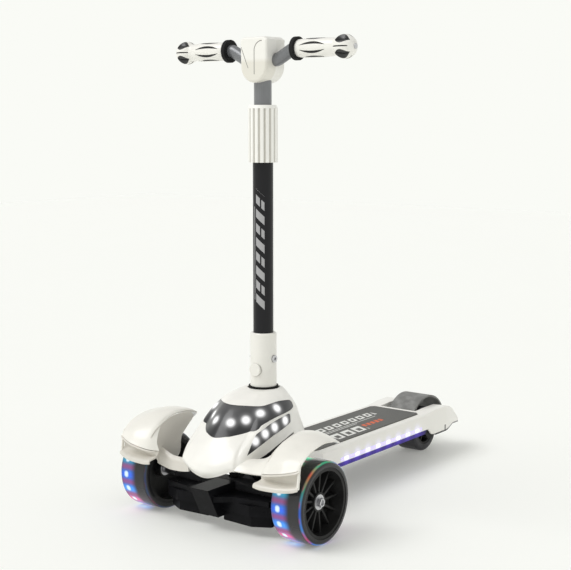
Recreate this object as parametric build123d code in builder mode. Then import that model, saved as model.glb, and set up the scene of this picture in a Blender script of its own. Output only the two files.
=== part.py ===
"""Three-wheel kick scooter for a child: lean-to-steer front truck, height-adjustable T-bar,
lit deck and cowl. Millimetres, +Z up, the rider faces -Y, and the rider's left is +X.
The origin lies on the floor under the middle of the scooter's length and width."""

from build123d import *
from math import cos, radians, sin
import os

# ---------------------------------------------------------------- overall sizes
overall_length = 676.0
nose_ahead_of_pole = 152.0          # tip of the truck's keel, ahead of the pole
pole_y = nose_ahead_of_pole - overall_length / 2

running_gap = 0.05                  # radial, shaft in bearing or bush
fixed_gap = 0.1                     # radial, between pieces that don't move on each other
panel_gap = 0.3                     # between pieces set into one another

# ---------------------------------------------------------------- wheels and axles
front_wheel_r = 60.0
front_wheel_width = 54.0
front_track = 288.0
front_axle_ahead = 78.0             # ahead of the pole
rear_wheel_r = 40.0
rear_wheel_width = 44.0
rear_axle_behind = 448.0
axle_r = 4.0
bearing_r = 11.0
bearing_width = 7.0
hub_wall = 3.0
front_rim_r = 51.0
front_rim_wall = 5.0
rear_rim_r = 28.0
spoke_count = 13
spoke_width = 3.0
lamp_ring_thick = 2.0
lamp_ring_width = 18.0
wheel_lamp_count = 12
nut_r = 6.5
nut_height = 5.0

# ---------------------------------------------------------------- deck
deck_top = 84.0
deck_wall = 3.0
deck_shoulder = 2.4
deck_half = 62.0
skirt_low = 57.0
tray_low = 50.0
deck_front = 4.0
deck_rear = overall_length - nose_ahead_of_pole
neck_half = 46.0
neck_end = 62.0
tail_start = 452.0
tail_half = 46.0
hip_start = 382.0
hip_top = 97.0
well_half = 36.0
well_front = 388.0
arch_centre_behind = 401.0
arch_centre_z = 34.0
arch_r = 27.0
mat_thick = 1.6
mat_half = 49.0
mat_front = 66.0
mat_rear = 380.0
side_lamp_z = 61.5
side_lamp_count = 8
side_lamp_first = 127.0
side_lamp_pitch = 33.2
lamp_bar_height = 5.0
lamp_bar_depth = 1.6
cheek_in = 27.0
cheek_thick = 5.0
cheek_r = 16.0
cheek_top = 72.0
battery_front = 176.0
battery_length = 120.0
battery_half = 34.0
door_thick = 2.5
screw_r = 2.0
screw_head_r = 3.6
boss_r = 4.5

# ---------------------------------------------------------------- kingpin and truck
kingpin_lean = 40.0                 # degrees, the top leans forward
kingpin_ahead = 52.0                # where it crosses the height of the axle, ahead of the pole
kingpin_r = 5.0
truck_boss_r = 14.0
truck_boss_half = 16.0
bushing_r = 12.0
bushing_height = 6.0
yoke_plate = 6.0
yoke_half = 16.0
yoke_nose_r = 10.0
yoke_reach = 40.0
yoke_web_start = 20.0
beam_half = 100.0
beam_depth = 24.0
beam_height = 16.0

# ---------------------------------------------------------------- pole, socket, collar
socket_r = 20.0
socket_low = 90.0
socket_top = 276.0
tube_out_r = 15.2
tube_wall = 2.0
tube_low = 96.0
inner_r = tube_out_r - tube_wall - 0.1
inner_wall = 1.8
inner_low = 400.0
collar_r = 22.0
collar_low = 531.0
collar_high = 615.0
collar_lip = 5.0
wedge_height = 22.0
wedge_r = 18.9
flute_count = 16
flute_r = 2.2
button_z = 221.0
button_r = 10.0
button_face = 22.5
button_thick = 3.0
button_stem_r = 4.0
button_travel = 2.5
bolt_z = 237.0
bolt_r = 3.0
bolt_head_r = 5.5
bolt_head_height = 3.0
ring_low = 189.0
ring_high = 195.0
bracket_r = 27.0
bracket_top = 118.0
bracket_plate = 6.0
bracket_plate_half = 34.0
bracket_plate_front = -30.0
bracket_plate_rear = 38.0
bracket_screw_spots = [(s * 29.0, y) for y in (12.0, 31.0) for s in (1, -1)]

# ---------------------------------------------------------------- bar
bar_r = 9.5
bar_wall = 1.6
bar_low_z = 680.0
bar_grip_z = 695.0
bar_flat_half = 28.0
bar_rise_half = 56.0
bar_half = 152.0
bar_bend_r = 16.0
head_top = 713.0
head_low = 647.0
head_half = 25.0
head_depth_half = 23.0
head_round_r = 24.0
flange_r = 17.0
flange_start = 60.0
flange_thick = 6.0
grip_end = 163.0
grip_core_r = 11.2
ball_r = 17.2
ball_x = 146.0

# ---------------------------------------------------------------- brake pedal
pedal_half = 26.0
pedal_top = 102.0
pedal_thick = 3.0
pedal_pin_behind = 402.0
pedal_pin_z = 64.0
pedal_pin_r = 2.5
pedal_barrel_r = 5.0
pad_gap = 4.0
pad_half = 12.0
pin_seat = 1.5

# ---------------------------------------------------------------- datum planes through the pole
floor = Plane(origin=(0, pole_y, 0))                                        # local x = X, y = back
side_view = Plane(origin=(0, pole_y, 0), x_dir=(0, 1, 0), z_dir=(1, 0, 0))  # local x = back, y = up
front_view = Plane(origin=(0, pole_y, 0), x_dir=(1, 0, 0), z_dir=(0, -1, 0))  # x = X, y = up, out = front
lean = radians(kingpin_lean)
axle_z = front_wheel_r
kingpin_axis = (0, -sin(lean), cos(lean))
kingpin = Plane(origin=(0, pole_y - kingpin_ahead, axle_z), x_dir=(1, 0, 0), z_dir=kingpin_axis)
sides = {"left": 1, "right": -1}

pieces = {}


def mirrored(points):
    """A closed outline from its +X half, which runs from front centre to rear centre."""
    return points + [(-x, y) for x, y in reversed(points) if x > 0]


def wheel_plane(x, behind, height):
    """The plane across a wheel at x: its normal is +X, along the axle."""
    return Plane(origin=(x, pole_y + behind, height), x_dir=(0, 1, 0), z_dir=(1, 0, 0))


# ---------------------------------------------------------------- deck shell
def deck_outline(inset=0.0):
    half = deck_half - inset
    neck = neck_half - inset
    tail = tail_half - inset
    return mirrored([(neck, deck_front + inset), (neck, neck_end - 14), (half, neck_end + 8),
                     (half, tail_start), (tail, deck_rear - inset)])


def deck_side():
    """Side profile: flat top, hips that rise beside the rear wheel, and a tail that drops."""
    return [(deck_front, skirt_low), (deck_front, deck_top), (hip_start, deck_top),
            (hip_start + 34, hip_top), (hip_start + 68, hip_top), (deck_rear - 34, deck_top - 10),
            (deck_rear, 49), (deck_rear, 42), (deck_rear - 32, 46), (deck_rear - 60, skirt_low)]


tray_screw_spots = [(s * (deck_half - 10), y) for y in (96.0, 160.0, 310.0, 352.0) for s in (1, -1)]
lamp_spots = [side_lamp_first + side_lamp_pitch * n for n in range(side_lamp_count)]
lamp_bar_front = lamp_spots[0] - 8
lamp_bar_rear = lamp_spots[-1] + 8
cavity_rear = well_front - 4

with BuildPart() as deck_cavity:
    with BuildSketch(floor):
        Polygon(*deck_outline(deck_wall), align=None)
    extrude(amount=deck_top - deck_wall)
    with Locations((0, pole_y + cavity_rear + deck_rear / 2, 0)):
        Box(2 * well_half + 2 * deck_wall, deck_rear, 4 * deck_top, mode=Mode.SUBTRACT)

with BuildPart() as deck_shell:
    with BuildSketch(floor):
        Polygon(*deck_outline(), align=None)
    extrude(amount=hip_top + 5)
    with BuildSketch(side_view):
        Polygon(*deck_side(), align=None)
    extrude(amount=deck_half + 1, both=True, mode=Mode.INTERSECT)
    # rounded shoulders along both long edges of the flat top
    shoulders = deck_shell.edges().filter_by(
        lambda e: abs(e.center().Z - deck_top) < 0.1 and abs(e.center().X) > deck_half - 1)
    chamfer(shoulders, deck_shoulder)
    add(deck_cavity.part, mode=Mode.SUBTRACT)
    # the well for the rear wheel and the pedal, open at the rear and below
    with BuildSketch(floor):
        with Locations((0, (well_front + deck_rear + 10) / 2)):
            Rectangle(2 * well_half, deck_rear + 10 - well_front)
    extrude(amount=hip_top + 10, mode=Mode.SUBTRACT)
    # the arch in each skirt ahead of the rear wheel
    with BuildSketch(side_view):
        with Locations((arch_centre_behind, arch_centre_z)):
            Circle(arch_r)
    extrude(amount=deck_half + 2, both=True, mode=Mode.SUBTRACT)
    # bosses for the undertray's screws
    with BuildSketch(floor.offset(tray_low + deck_wall + panel_gap)):
        with Locations(*tray_screw_spots):
            Circle(boss_r)
    extrude(amount=deck_top - tray_low - 2 * deck_wall)
    with BuildSketch(floor):
        with Locations(*tray_screw_spots):
            Circle(screw_r + fixed_gap)
    extrude(amount=deck_top - deck_wall - 4, mode=Mode.SUBTRACT)
    # holes for the bracket's screws and the pedal's pin
    with BuildSketch(floor.offset(deck_top - 2 * deck_wall)):
        with Locations(*bracket_screw_spots):
            Circle(screw_r + fixed_gap)
    extrude(amount=4 * deck_wall, mode=Mode.SUBTRACT)
    with BuildSketch(side_view):
        with Locations((pedal_pin_behind, pedal_pin_z)):
            Circle(pedal_pin_r + fixed_gap)
    extrude(amount=well_half + pin_seat + panel_gap, both=True, mode=Mode.SUBTRACT)
    # the undertray's cheeks pass below the well's front wall
    with Locations((0, pole_y + well_front, 0)):
        Box(2 * well_half, 4 * deck_wall, 2 * (cheek_top + panel_gap), mode=Mode.SUBTRACT)
    # grooves for the side lamp bars
    for s in sides.values():
        with BuildSketch(side_view.offset(s * deck_half)):
            with Locations(((lamp_bar_front + lamp_bar_rear) / 2, side_lamp_z)):
                Rectangle(lamp_bar_rear - lamp_bar_front, lamp_bar_height)
        extrude(amount=-s * lamp_bar_depth, mode=Mode.SUBTRACT)
pieces["deck_shell"] = deck_shell

with BuildPart() as grip_mat:
    with BuildSketch(floor.offset(deck_top)):
        Polygon(*mirrored([(mat_half - 4, mat_front), (mat_half, mat_front + 10),
                           (mat_half, mat_rear - 6), (mat_half - 6, mat_rear)]), align=None)
    extrude(amount=mat_thick)
pieces["grip_mat"] = grip_mat


def side_lamp(s):
    """A clear bar with one domed lens over each lamp."""
    with BuildPart() as bar:
        with BuildSketch(side_view.offset(s * (deck_half - lamp_bar_depth))):
            with Locations(((lamp_bar_front + lamp_bar_rear) / 2, side_lamp_z)):
                Rectangle(lamp_bar_rear - lamp_bar_front - fixed_gap, lamp_bar_height - fixed_gap)
        extrude(amount=s * lamp_bar_depth)
        with BuildSketch(side_view.offset(s * deck_half)):
            with Locations(*[(y, side_lamp_z) for y in lamp_spots]):
                Circle((lamp_bar_height - fixed_gap) / 2)
        extrude(amount=s * 0.6)
    return bar


for side, s in sides.items():
    pieces[f"side_lamp_{side}"] = side_lamp(s)

# ---------------------------------------------------------------- undertray and battery
tray_rim = skirt_low - tray_low
battery_middle = battery_front + battery_length / 2
door_length = battery_length - 6
door_half = battery_half - 3

with BuildPart() as undertray:
    with BuildSketch(floor.offset(tray_low)):
        Polygon(*deck_outline(), align=None)
    extrude(amount=tray_rim)
    with BuildSketch(floor.offset(tray_low + deck_wall)):
        Polygon(*deck_outline(deck_wall), align=None)
    extrude(amount=tray_rim, mode=Mode.SUBTRACT)
    # nothing ahead of the neck or behind the arch
    with Locations((0, pole_y + well_front + deck_rear / 2, tray_low)):
        Box(4 * deck_half, deck_rear, 4 * tray_rim, mode=Mode.SUBTRACT)
    # the arch
    with BuildSketch(side_view):
        with Locations((arch_centre_behind, arch_centre_z)):
            Circle(arch_r)
    extrude(amount=deck_half + 2, both=True, mode=Mode.SUBTRACT)
    # the cheeks that hold the rear axle, joined to the tray by a cross wall
    with BuildSketch(side_view):
        with Locations((rear_axle_behind, rear_wheel_r)):
            Circle(cheek_r)
        Polygon((well_front - 14, tray_low), (well_front - 14, cheek_top - 4), (well_front, cheek_top),
                (rear_axle_behind, cheek_top), (rear_axle_behind + cheek_r, cheek_top - 6),
                (rear_axle_behind + cheek_r, rear_wheel_r), (rear_axle_behind - cheek_r, rear_wheel_r - 6),
                align=None)
    extrude(amount=cheek_in + cheek_thick, both=True)
    with Locations((0, pole_y + well_front + deck_rear / 2, rear_wheel_r)):
        Box(2 * cheek_in, deck_rear, 4 * rear_wheel_r, mode=Mode.SUBTRACT)
    with BuildSketch(side_view):
        with Locations((rear_axle_behind, rear_wheel_r)):
            Circle(axle_r + fixed_gap)
        with Locations((pedal_pin_behind, pedal_pin_z)):
            Circle(pedal_pin_r + fixed_gap)
    extrude(amount=deck_half, both=True, mode=Mode.SUBTRACT)
    # screw holes and the battery opening
    with BuildSketch(floor.offset(tray_low - 1)):
        with Locations(*tray_screw_spots):
            Circle(screw_r + fixed_gap)
        with Locations((0, battery_middle)):
            Rectangle(2 * door_half, door_length)
    extrude(amount=tray_rim + 20, mode=Mode.SUBTRACT)
pieces["undertray"] = undertray

with BuildPart() as battery_case:
    with Locations((0, pole_y + battery_middle, tray_low + deck_wall)):
        Box(2 * battery_half, battery_length, 24, align=(Align.CENTER, Align.CENTER, Align.MIN))
    offset(amount=-2, openings=battery_case.faces().sort_by(Axis.Z)[0])
pieces["battery_case"] = battery_case

with BuildPart() as battery_door:
    with BuildSketch(floor.offset(tray_low)):
        with Locations((0, battery_middle)):
            RectangleRounded(2 * (door_half - panel_gap), door_length - 2 * panel_gap, 1.5)
    extrude(amount=door_thick)
    with BuildSketch(floor.offset(tray_low)):
        with Locations((0, battery_middle + door_length / 2 - 10)):
            SlotOverall(24, 8)
    extrude(amount=1, mode=Mode.SUBTRACT)
pieces["battery_door"] = battery_door


def screws(plane, spots, length, head_r=screw_head_r, shank_r=screw_r, head=1.6):
    """Pan-head screws whose heads stand out of the plane, along its normal."""
    with BuildPart() as group:
        with BuildSketch(plane):
            with Locations(*spots):
                Circle(head_r)
        extrude(amount=head)
        with BuildSketch(plane):
            with Locations(*spots):
                Circle(shank_r)
        extrude(amount=-length)
    return group


below = Plane(origin=(0, pole_y, tray_low), x_dir=(1, 0, 0), z_dir=(0, 0, -1))
pieces["tray_screws"] = screws(below, [(x, -y) for x, y in tray_screw_spots], 20)

# ---------------------------------------------------------------- head bracket, kingpin, bushings
plate_start = truck_boss_half + bushing_height
plate_end = plate_start + yoke_plate

with BuildPart() as yoke:
    for low in (plate_start, -plate_end):
        with BuildSketch(kingpin.offset(low)):
            Circle(yoke_nose_r)
            Polygon((-yoke_nose_r, 0), (yoke_nose_r, 0), (yoke_half, yoke_web_start),
                    (yoke_half, yoke_reach), (-yoke_half, yoke_reach), (-yoke_half, yoke_web_start),
                    align=None)
        extrude(amount=yoke_plate)
    with BuildSketch(kingpin.offset(-plate_end)):
        with Locations((0, (yoke_web_start + yoke_reach) / 2)):
            Rectangle(2 * yoke_half, yoke_reach - yoke_web_start)
    extrude(amount=2 * plate_end)
    with BuildSketch(kingpin.offset(-plate_end)):
        Circle(kingpin_r + fixed_gap)
    extrude(amount=2 * plate_end, mode=Mode.SUBTRACT)

with BuildPart() as head_bracket:
    add(yoke.part)
    with BuildSketch(floor.offset(deck_top)):
        with Locations((0, (bracket_plate_rear + bracket_plate_front) / 2)):
            Rectangle(2 * bracket_plate_half, bracket_plate_rear - bracket_plate_front)
    extrude(amount=bracket_plate)
    with BuildSketch(floor.offset(deck_top)):
        Circle(bracket_r)
        with Locations((0, -bracket_r)):
            Rectangle(2 * yoke_half, 2 * bracket_r)
    extrude(amount=bracket_top - deck_top)
    with BuildSketch(floor.offset(socket_low)):
        Circle(socket_r + fixed_gap)
    extrude(amount=bracket_top, mode=Mode.SUBTRACT)
    with BuildSketch(floor.offset(deck_top - 1)):
        with Locations(*bracket_screw_spots):
            Circle(screw_r + fixed_gap)
    extrude(amount=bracket_plate + 2, mode=Mode.SUBTRACT)
    with BuildSketch(kingpin.offset(plate_end)):
        Circle(nut_r + 4)
    extrude(amount=40, mode=Mode.SUBTRACT)
pieces["head_bracket"] = head_bracket
on_plate = floor.offset(deck_top + bracket_plate)
pieces["bracket_screws"] = screws(on_plate, bracket_screw_spots, bracket_plate + deck_wall - 1)

with BuildPart() as kingpin_bolt:
    with BuildSketch(kingpin.offset(-plate_end - 5)):
        RegularPolygon(nut_r, 6)
    extrude(amount=5)
    with BuildSketch(kingpin.offset(-plate_end)):
        Circle(kingpin_r)
    extrude(amount=2 * plate_end + 7)
pieces["kingpin_bolt"] = kingpin_bolt

with BuildPart() as kingpin_nut:
    with BuildSketch(kingpin.offset(plate_end)):
        RegularPolygon(nut_r + 1.5, 6)
        Circle(kingpin_r + fixed_gap, mode=Mode.SUBTRACT)
    extrude(amount=6)
pieces["kingpin_nut"] = kingpin_nut

with BuildPart() as kingpin_bushings:
    for low in (truck_boss_half, -plate_start):
        with BuildSketch(kingpin.offset(low)):
            Circle(bushing_r)
            Circle(kingpin_r + fixed_gap, mode=Mode.SUBTRACT)
        extrude(amount=bushing_height)
pieces["kingpin_bushings"] = kingpin_bushings

# ---------------------------------------------------------------- front truck
beam_low = axle_z - beam_height / 2
beam_middle = -front_axle_ahead
axle_half = front_track / 2 + front_wheel_width / 2 - 8
spacer_r = 7.0
wheel_inner = front_track / 2 - 13.0

with BuildPart() as truck_beam:
    with BuildSketch(floor.offset(beam_low)):
        with Locations((0, beam_middle)):
            Rectangle(2 * beam_half, beam_depth)
        with Locations((0, (beam_middle - kingpin_ahead) / 2)):
            Rectangle(2 * (truck_boss_r - 2), front_axle_ahead - kingpin_ahead)
    extrude(amount=beam_height)
    fillet(truck_beam.edges().filter_by(Axis.X), radius=3)
    with BuildSketch(kingpin.offset(-truck_boss_half)):
        Circle(truck_boss_r)
    extrude(amount=2 * truck_boss_half)
    # room for the bushings and the yoke's plates over the whole lean
    for low, height in ((truck_boss_half, 40), (-truck_boss_half - 40, 40)):
        with BuildSketch(kingpin.offset(low)):
            Circle(bushing_r + 3)
        extrude(amount=height, mode=Mode.SUBTRACT)
    with BuildSketch(kingpin.offset(-truck_boss_half)):
        Circle(kingpin_r + running_gap)
    extrude(amount=2 * truck_boss_half, mode=Mode.SUBTRACT)
    with BuildSketch(side_view):
        with Locations((beam_middle, axle_z)):
            Circle(axle_r + fixed_gap)
    extrude(amount=beam_half + 1, both=True, mode=Mode.SUBTRACT)
pieces["truck_beam"] = truck_beam

cover_back = front_axle_ahead + beam_depth / 2          # ahead of the pole
keel_half = 17.0


def forward(points):
    """Points given as (x, distance ahead of the pole), turned into floor coordinates."""
    return [(x, -ahead) for x, ahead in points]


with BuildPart() as truck_cover:
    # the keel: a wedge under the nose of the cowl
    with BuildSketch(side_view):
        Polygon((-nose_ahead_of_pole, 68), (-nose_ahead_of_pole + 4, 60), (-129, 23), (-112, 23),
                (-cover_back, 44), (-cover_back, 68), align=None)
    extrude(amount=keel_half, both=True)
    # the apron from the keel to the bumpers
    with BuildSketch(floor.offset(48)):
        Polygon(*mirrored(forward([(keel_half, 140), (38, 122), (96, 112), (96, cover_back)])),
                align=None)
    extrude(amount=8)
    # two stepped bumpers
    for s in sides.values():
        for low, high, inset in ((32, 48, 0), (16, 32, 5)):
            with BuildSketch(floor.offset(low)):
                Polygon(*[(s * x, y) for x, y in forward(
                    [(keel_half - 2, cover_back), (keel_half - 2, 119 - inset), (68, 122 - inset),
                     (99 - inset, 108 - inset), (99 - inset, cover_back)])], align=None)
            extrude(amount=high - low)
pieces["truck_cover"] = truck_cover

with BuildPart() as front_axle:
    with BuildSketch(wheel_plane(0, -front_axle_ahead, axle_z)):
        Circle(axle_r)
    extrude(amount=axle_half, both=True)
pieces["front_axle"] = front_axle

bearing_out = front_track / 2 + 16.0                   # outer face of the outer bearing
with BuildPart() as axle_nuts:
    for s in sides.values():
        with BuildSketch(wheel_plane(s * (bearing_out + 0.2), -front_axle_ahead, axle_z)):
            RegularPolygon(nut_r, 6)
            Circle(axle_r + fixed_gap, mode=Mode.SUBTRACT)
        extrude(amount=s * nut_height)
pieces["axle_nuts"] = axle_nuts

with BuildPart() as axle_spacers:
    for s in sides.values():
        with BuildSketch(wheel_plane(s * beam_half, -front_axle_ahead, axle_z)):
            Circle(spacer_r)
            Circle(axle_r + fixed_gap, mode=Mode.SUBTRACT)
        extrude(amount=s * (wheel_inner - beam_half - 0.2))
pieces["axle_spacers"] = axle_spacers


# ---------------------------------------------------------------- front wheels
def front_hub(s):
    centre = s * front_track / 2
    middle = wheel_plane(centre, -front_axle_ahead, axle_z)
    span = bearing_out - wheel_inner
    barrel_mid = wheel_plane(s * (bearing_out + wheel_inner) / 2, -front_axle_ahead, axle_z)
    with BuildPart() as hub:
        with BuildSketch(middle):
            Circle(front_rim_r)
            Circle(front_rim_r - front_rim_wall, mode=Mode.SUBTRACT)
        extrude(amount=front_wheel_width / 2 - 1, both=True)
        with BuildSketch(barrel_mid):
            Circle(bearing_r + hub_wall)
        extrude(amount=span / 2, both=True)
        with BuildSketch(middle):
            Circle(front_rim_r - 1)
        extrude(amount=1.5, both=True)
        # spokes stand on the web, towards the outside
        spoke_in = bearing_r + hub_wall - 1
        spoke_out = front_rim_r - front_rim_wall + 1
        with BuildSketch(middle):
            with PolarLocations((spoke_in + spoke_out) / 2, spoke_count):
                Rectangle(spoke_out - spoke_in, spoke_width)
        extrude(amount=s * 14)
        with BuildSketch(barrel_mid):
            Circle(axle_r + 1)
        extrude(amount=span, both=True, mode=Mode.SUBTRACT)
        for x in (wheel_inner, bearing_out - bearing_width):
            with BuildSketch(wheel_plane(s * x, -front_axle_ahead, axle_z)):
                Circle(bearing_r)
            extrude(amount=s * bearing_width, mode=Mode.SUBTRACT)
    return hub


def bearing_pair(starts, s, behind, height):
    """Two ball bearings; each starts at a distance from the middle plane and runs outwards."""
    with BuildPart() as pair:
        for x in starts:
            with BuildSketch(wheel_plane(s * x, behind, height)):
                Circle(bearing_r - 0.02)
                Circle(axle_r + running_gap, mode=Mode.SUBTRACT)
            extrude(amount=s * bearing_width)
            for face_x in (x, x + bearing_width - 0.6):
                with BuildSketch(wheel_plane(s * face_x, behind, height)):
                    Circle(bearing_r - 2.6)
                    Circle(axle_r + 2.2, mode=Mode.SUBTRACT)
                extrude(amount=s * 0.6, mode=Mode.SUBTRACT)
    return pair


def front_tyre(s):
    middle = wheel_plane(s * front_track / 2, -front_axle_ahead, axle_z)
    with BuildPart() as tyre:
        with BuildSketch(middle):
            Circle(front_wheel_r)
        extrude(amount=front_wheel_width / 2, both=True)
        fillet(tyre.edges(), radius=6)
        with BuildSketch(middle):
            Circle(front_rim_r + fixed_gap)
        extrude(amount=front_wheel_width, both=True, mode=Mode.SUBTRACT)
        with BuildSketch(middle):
            Circle(front_rim_r + lamp_ring_thick + 2 * fixed_gap)
        extrude(amount=lamp_ring_width / 2 + fixed_gap, both=True, mode=Mode.SUBTRACT)
    return tyre


def wheel_lamps(s):
    """The lit band between hub and tread, with one lamp block for each coil segment."""
    middle = wheel_plane(s * front_track / 2, -front_axle_ahead, axle_z)
    with BuildPart() as lamps:
        with BuildSketch(middle):
            Circle(front_rim_r + 1.1)
            with PolarLocations(front_rim_r + 1.1, wheel_lamp_count):
                Rectangle(1.6, 5)
            Circle(front_rim_r + fixed_gap, mode=Mode.SUBTRACT)
        extrude(amount=lamp_ring_width / 2, both=True)
    return lamps


for side, s in sides.items():
    pieces[f"front_hub_{side}"] = front_hub(s)
    pieces[f"front_tyre_{side}"] = front_tyre(s)
    pieces[f"wheel_lamps_{side}"] = wheel_lamps(s)
    pieces[f"front_bearings_{side}"] = bearing_pair(
        (wheel_inner, bearing_out - bearing_width), s, -front_axle_ahead, axle_z)

# ---------------------------------------------------------------- rear wheel
rear_middle = wheel_plane(0, rear_axle_behind, rear_wheel_r)
rear_hub_half = rear_wheel_width / 2 + 2

with BuildPart() as rear_hub:
    with BuildSketch(rear_middle):
        Circle(rear_rim_r)
        Circle(rear_rim_r - 4, mode=Mode.SUBTRACT)
    extrude(amount=rear_wheel_width / 2 - 1, both=True)
    with BuildSketch(rear_middle):
        Circle(rear_rim_r - 1)
    extrude(amount=2, both=True)
    with BuildSketch(rear_middle):
        Circle(bearing_r + hub_wall)
    extrude(amount=rear_hub_half, both=True)
    with BuildSketch(rear_middle):
        with PolarLocations((bearing_r + rear_rim_r) / 2, 6):
            Rectangle(rear_rim_r - bearing_r - 4, 3)
    extrude(amount=rear_wheel_width / 2 - 3, both=True)
    with BuildSketch(rear_middle):
        Circle(axle_r + 1)
    extrude(amount=rear_hub_half, both=True, mode=Mode.SUBTRACT)
    for s in sides.values():
        with BuildSketch(wheel_plane(s * rear_hub_half, rear_axle_behind, rear_wheel_r)):
            Circle(bearing_r)
        extrude(amount=-s * bearing_width, mode=Mode.SUBTRACT)
pieces["rear_hub"] = rear_hub

with BuildPart() as rear_tyre:
    with BuildSketch(rear_middle):
        Circle(rear_wheel_r)
    extrude(amount=rear_wheel_width / 2, both=True)
    fillet(rear_tyre.edges(), radius=5)
    with BuildSketch(rear_middle):
        Circle(rear_rim_r + fixed_gap)
    extrude(amount=rear_wheel_width, both=True, mode=Mode.SUBTRACT)
pieces["rear_tyre"] = rear_tyre

with BuildPart() as rear_bearings:
    for s in sides.values():
        with BuildSketch(wheel_plane(s * rear_hub_half, rear_axle_behind, rear_wheel_r)):
            Circle(bearing_r - 0.02)
            Circle(axle_r + running_gap, mode=Mode.SUBTRACT)
        extrude(amount=-s * bearing_width)
pieces["rear_bearings"] = rear_bearings

rear_axle_half = cheek_in + cheek_thick
with BuildPart() as rear_axle:
    with BuildSketch(rear_middle):
        Circle(axle_r)
    extrude(amount=rear_axle_half + nut_height + 1, both=True)
pieces["rear_axle"] = rear_axle

with BuildPart() as rear_axle_nuts:
    for s in sides.values():
        with BuildSketch(wheel_plane(s * rear_axle_half, rear_axle_behind, rear_wheel_r)):
            RegularPolygon(nut_r, 6)
            Circle(axle_r + fixed_gap, mode=Mode.SUBTRACT)
        extrude(amount=s * nut_height)
        with BuildSketch(wheel_plane(s * cheek_in, rear_axle_behind, rear_wheel_r)):
            Circle(axle_r + 2)
            Circle(axle_r + fixed_gap, mode=Mode.SUBTRACT)
        extrude(amount=-s * (cheek_in - rear_hub_half - 0.2))
pieces["rear_axle_nuts"] = rear_axle_nuts

# ---------------------------------------------------------------- brake pedal
pedal_out_r = pedal_top - rear_wheel_r
pad_r = rear_wheel_r + pad_gap

with BuildPart() as brake_pedal:
    with BuildSketch(side_view):
        with Locations((rear_axle_behind, rear_wheel_r)):
            Circle(pedal_out_r)
            Circle(pedal_out_r - pedal_thick, mode=Mode.SUBTRACT)
    extrude(amount=pedal_half, both=True)
    # keep the part of the ring from the hinge over the wheel to behind it
    with BuildSketch(side_view):
        Polygon((rear_axle_behind, rear_wheel_r), (rear_axle_behind - 74, rear_wheel_r + 54),
                (rear_axle_behind - 46, 130), (rear_axle_behind + 40, 130), (deck_rear + 40, 60),
                (deck_rear, 52), align=None)
    extrude(amount=pedal_half + 1, both=True, mode=Mode.INTERSECT)
    # the brake block under it
    with BuildSketch(side_view):
        with Locations((rear_axle_behind, rear_wheel_r)):
            Circle(pedal_out_r - 1)
            Circle(pad_r, mode=Mode.SUBTRACT)
        Polygon((rear_axle_behind, rear_wheel_r), (rear_axle_behind - pad_half, 120),
                (rear_axle_behind + pad_half, 120), align=None, mode=Mode.INTERSECT)
    extrude(amount=pad_half, both=True)
    # two hinge ears, with the spring between them
    for s in sides.values():
        with BuildSketch(side_view.offset(s * 11)):
            with Locations((pedal_pin_behind, pedal_pin_z)):
                Circle(pedal_barrel_r)
            Polygon((pedal_pin_behind - 4, pedal_pin_z + 2), (pedal_pin_behind + 4, pedal_pin_z - 2),
                    (pedal_pin_behind + 9, pedal_pin_z + 23), (pedal_pin_behind, pedal_pin_z + 15),
                    align=None)
        extrude(amount=s * (pedal_half - 11))
    with BuildSketch(side_view):
        with Locations((pedal_pin_behind, pedal_pin_z)):
            Circle(pedal_pin_r + running_gap)
    extrude(amount=pedal_half + 1, both=True, mode=Mode.SUBTRACT)
pieces["brake_pedal"] = brake_pedal

with BuildPart() as pedal_pin:
    with BuildSketch(wheel_plane(0, pedal_pin_behind, pedal_pin_z)):
        Circle(pedal_pin_r)
    extrude(amount=well_half + pin_seat, both=True)
pieces["pedal_pin"] = pedal_pin


def coil(start, wire_r, mean_r, pitch, length, direction):
    """A round-wire coil that starts at a point and runs along a direction."""
    with BuildPart() as spring:
        with BuildLine() as path:
            Helix(pitch, length, mean_r, center=start, direction=direction)
        with BuildSketch(Plane(origin=path.line @ 0, z_dir=path.line % 0)):
            Circle(wire_r)
        sweep(path=path.wires()[0], is_frenet=True)
    return spring


pedal_spring = coil((-8, pole_y + pedal_pin_behind, pedal_pin_z), 0.6, 3.7, 2.0, 16, (1, 0, 0))
pieces["pedal_spring"] = pedal_spring

# ---------------------------------------------------------------- pole socket and release button
button_back = button_face - button_thick
recess_floor = button_back - button_travel - 0.2
stem_end = tube_out_r - tube_wall - 2.2

with BuildPart() as pole_socket:
    with BuildSketch(floor.offset(socket_low)):
        Circle(socket_r)
        Circle(tube_out_r + fixed_gap, mode=Mode.SUBTRACT)
    extrude(amount=socket_top - socket_low)
    chamfer(pole_socket.faces().sort_by(Axis.Z)[-1].edges().sort_by(SortBy.LENGTH)[-1], 1.5)
    with BuildSketch(front_view.offset(recess_floor)):
        with Locations((0, button_z)):
            Circle(button_r + panel_gap)
    extrude(amount=socket_r, mode=Mode.SUBTRACT)
    with BuildSketch(front_view):
        with Locations((0, button_z)):
            Circle(button_stem_r + fixed_gap)
    extrude(amount=socket_r + 5, mode=Mode.SUBTRACT)
    with BuildSketch(side_view):
        with Locations((0, bolt_z)):
            Circle(bolt_r + fixed_gap)
    extrude(amount=socket_r + 5, both=True, mode=Mode.SUBTRACT)
    for s in sides.values():
        with BuildSketch(side_view.offset(s * (socket_r - 0.8))):
            with Locations((0, bolt_z)):
                Circle(bolt_head_r + 0.6)
        extrude(amount=s * 5, mode=Mode.SUBTRACT)
pieces["pole_socket"] = pole_socket

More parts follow.
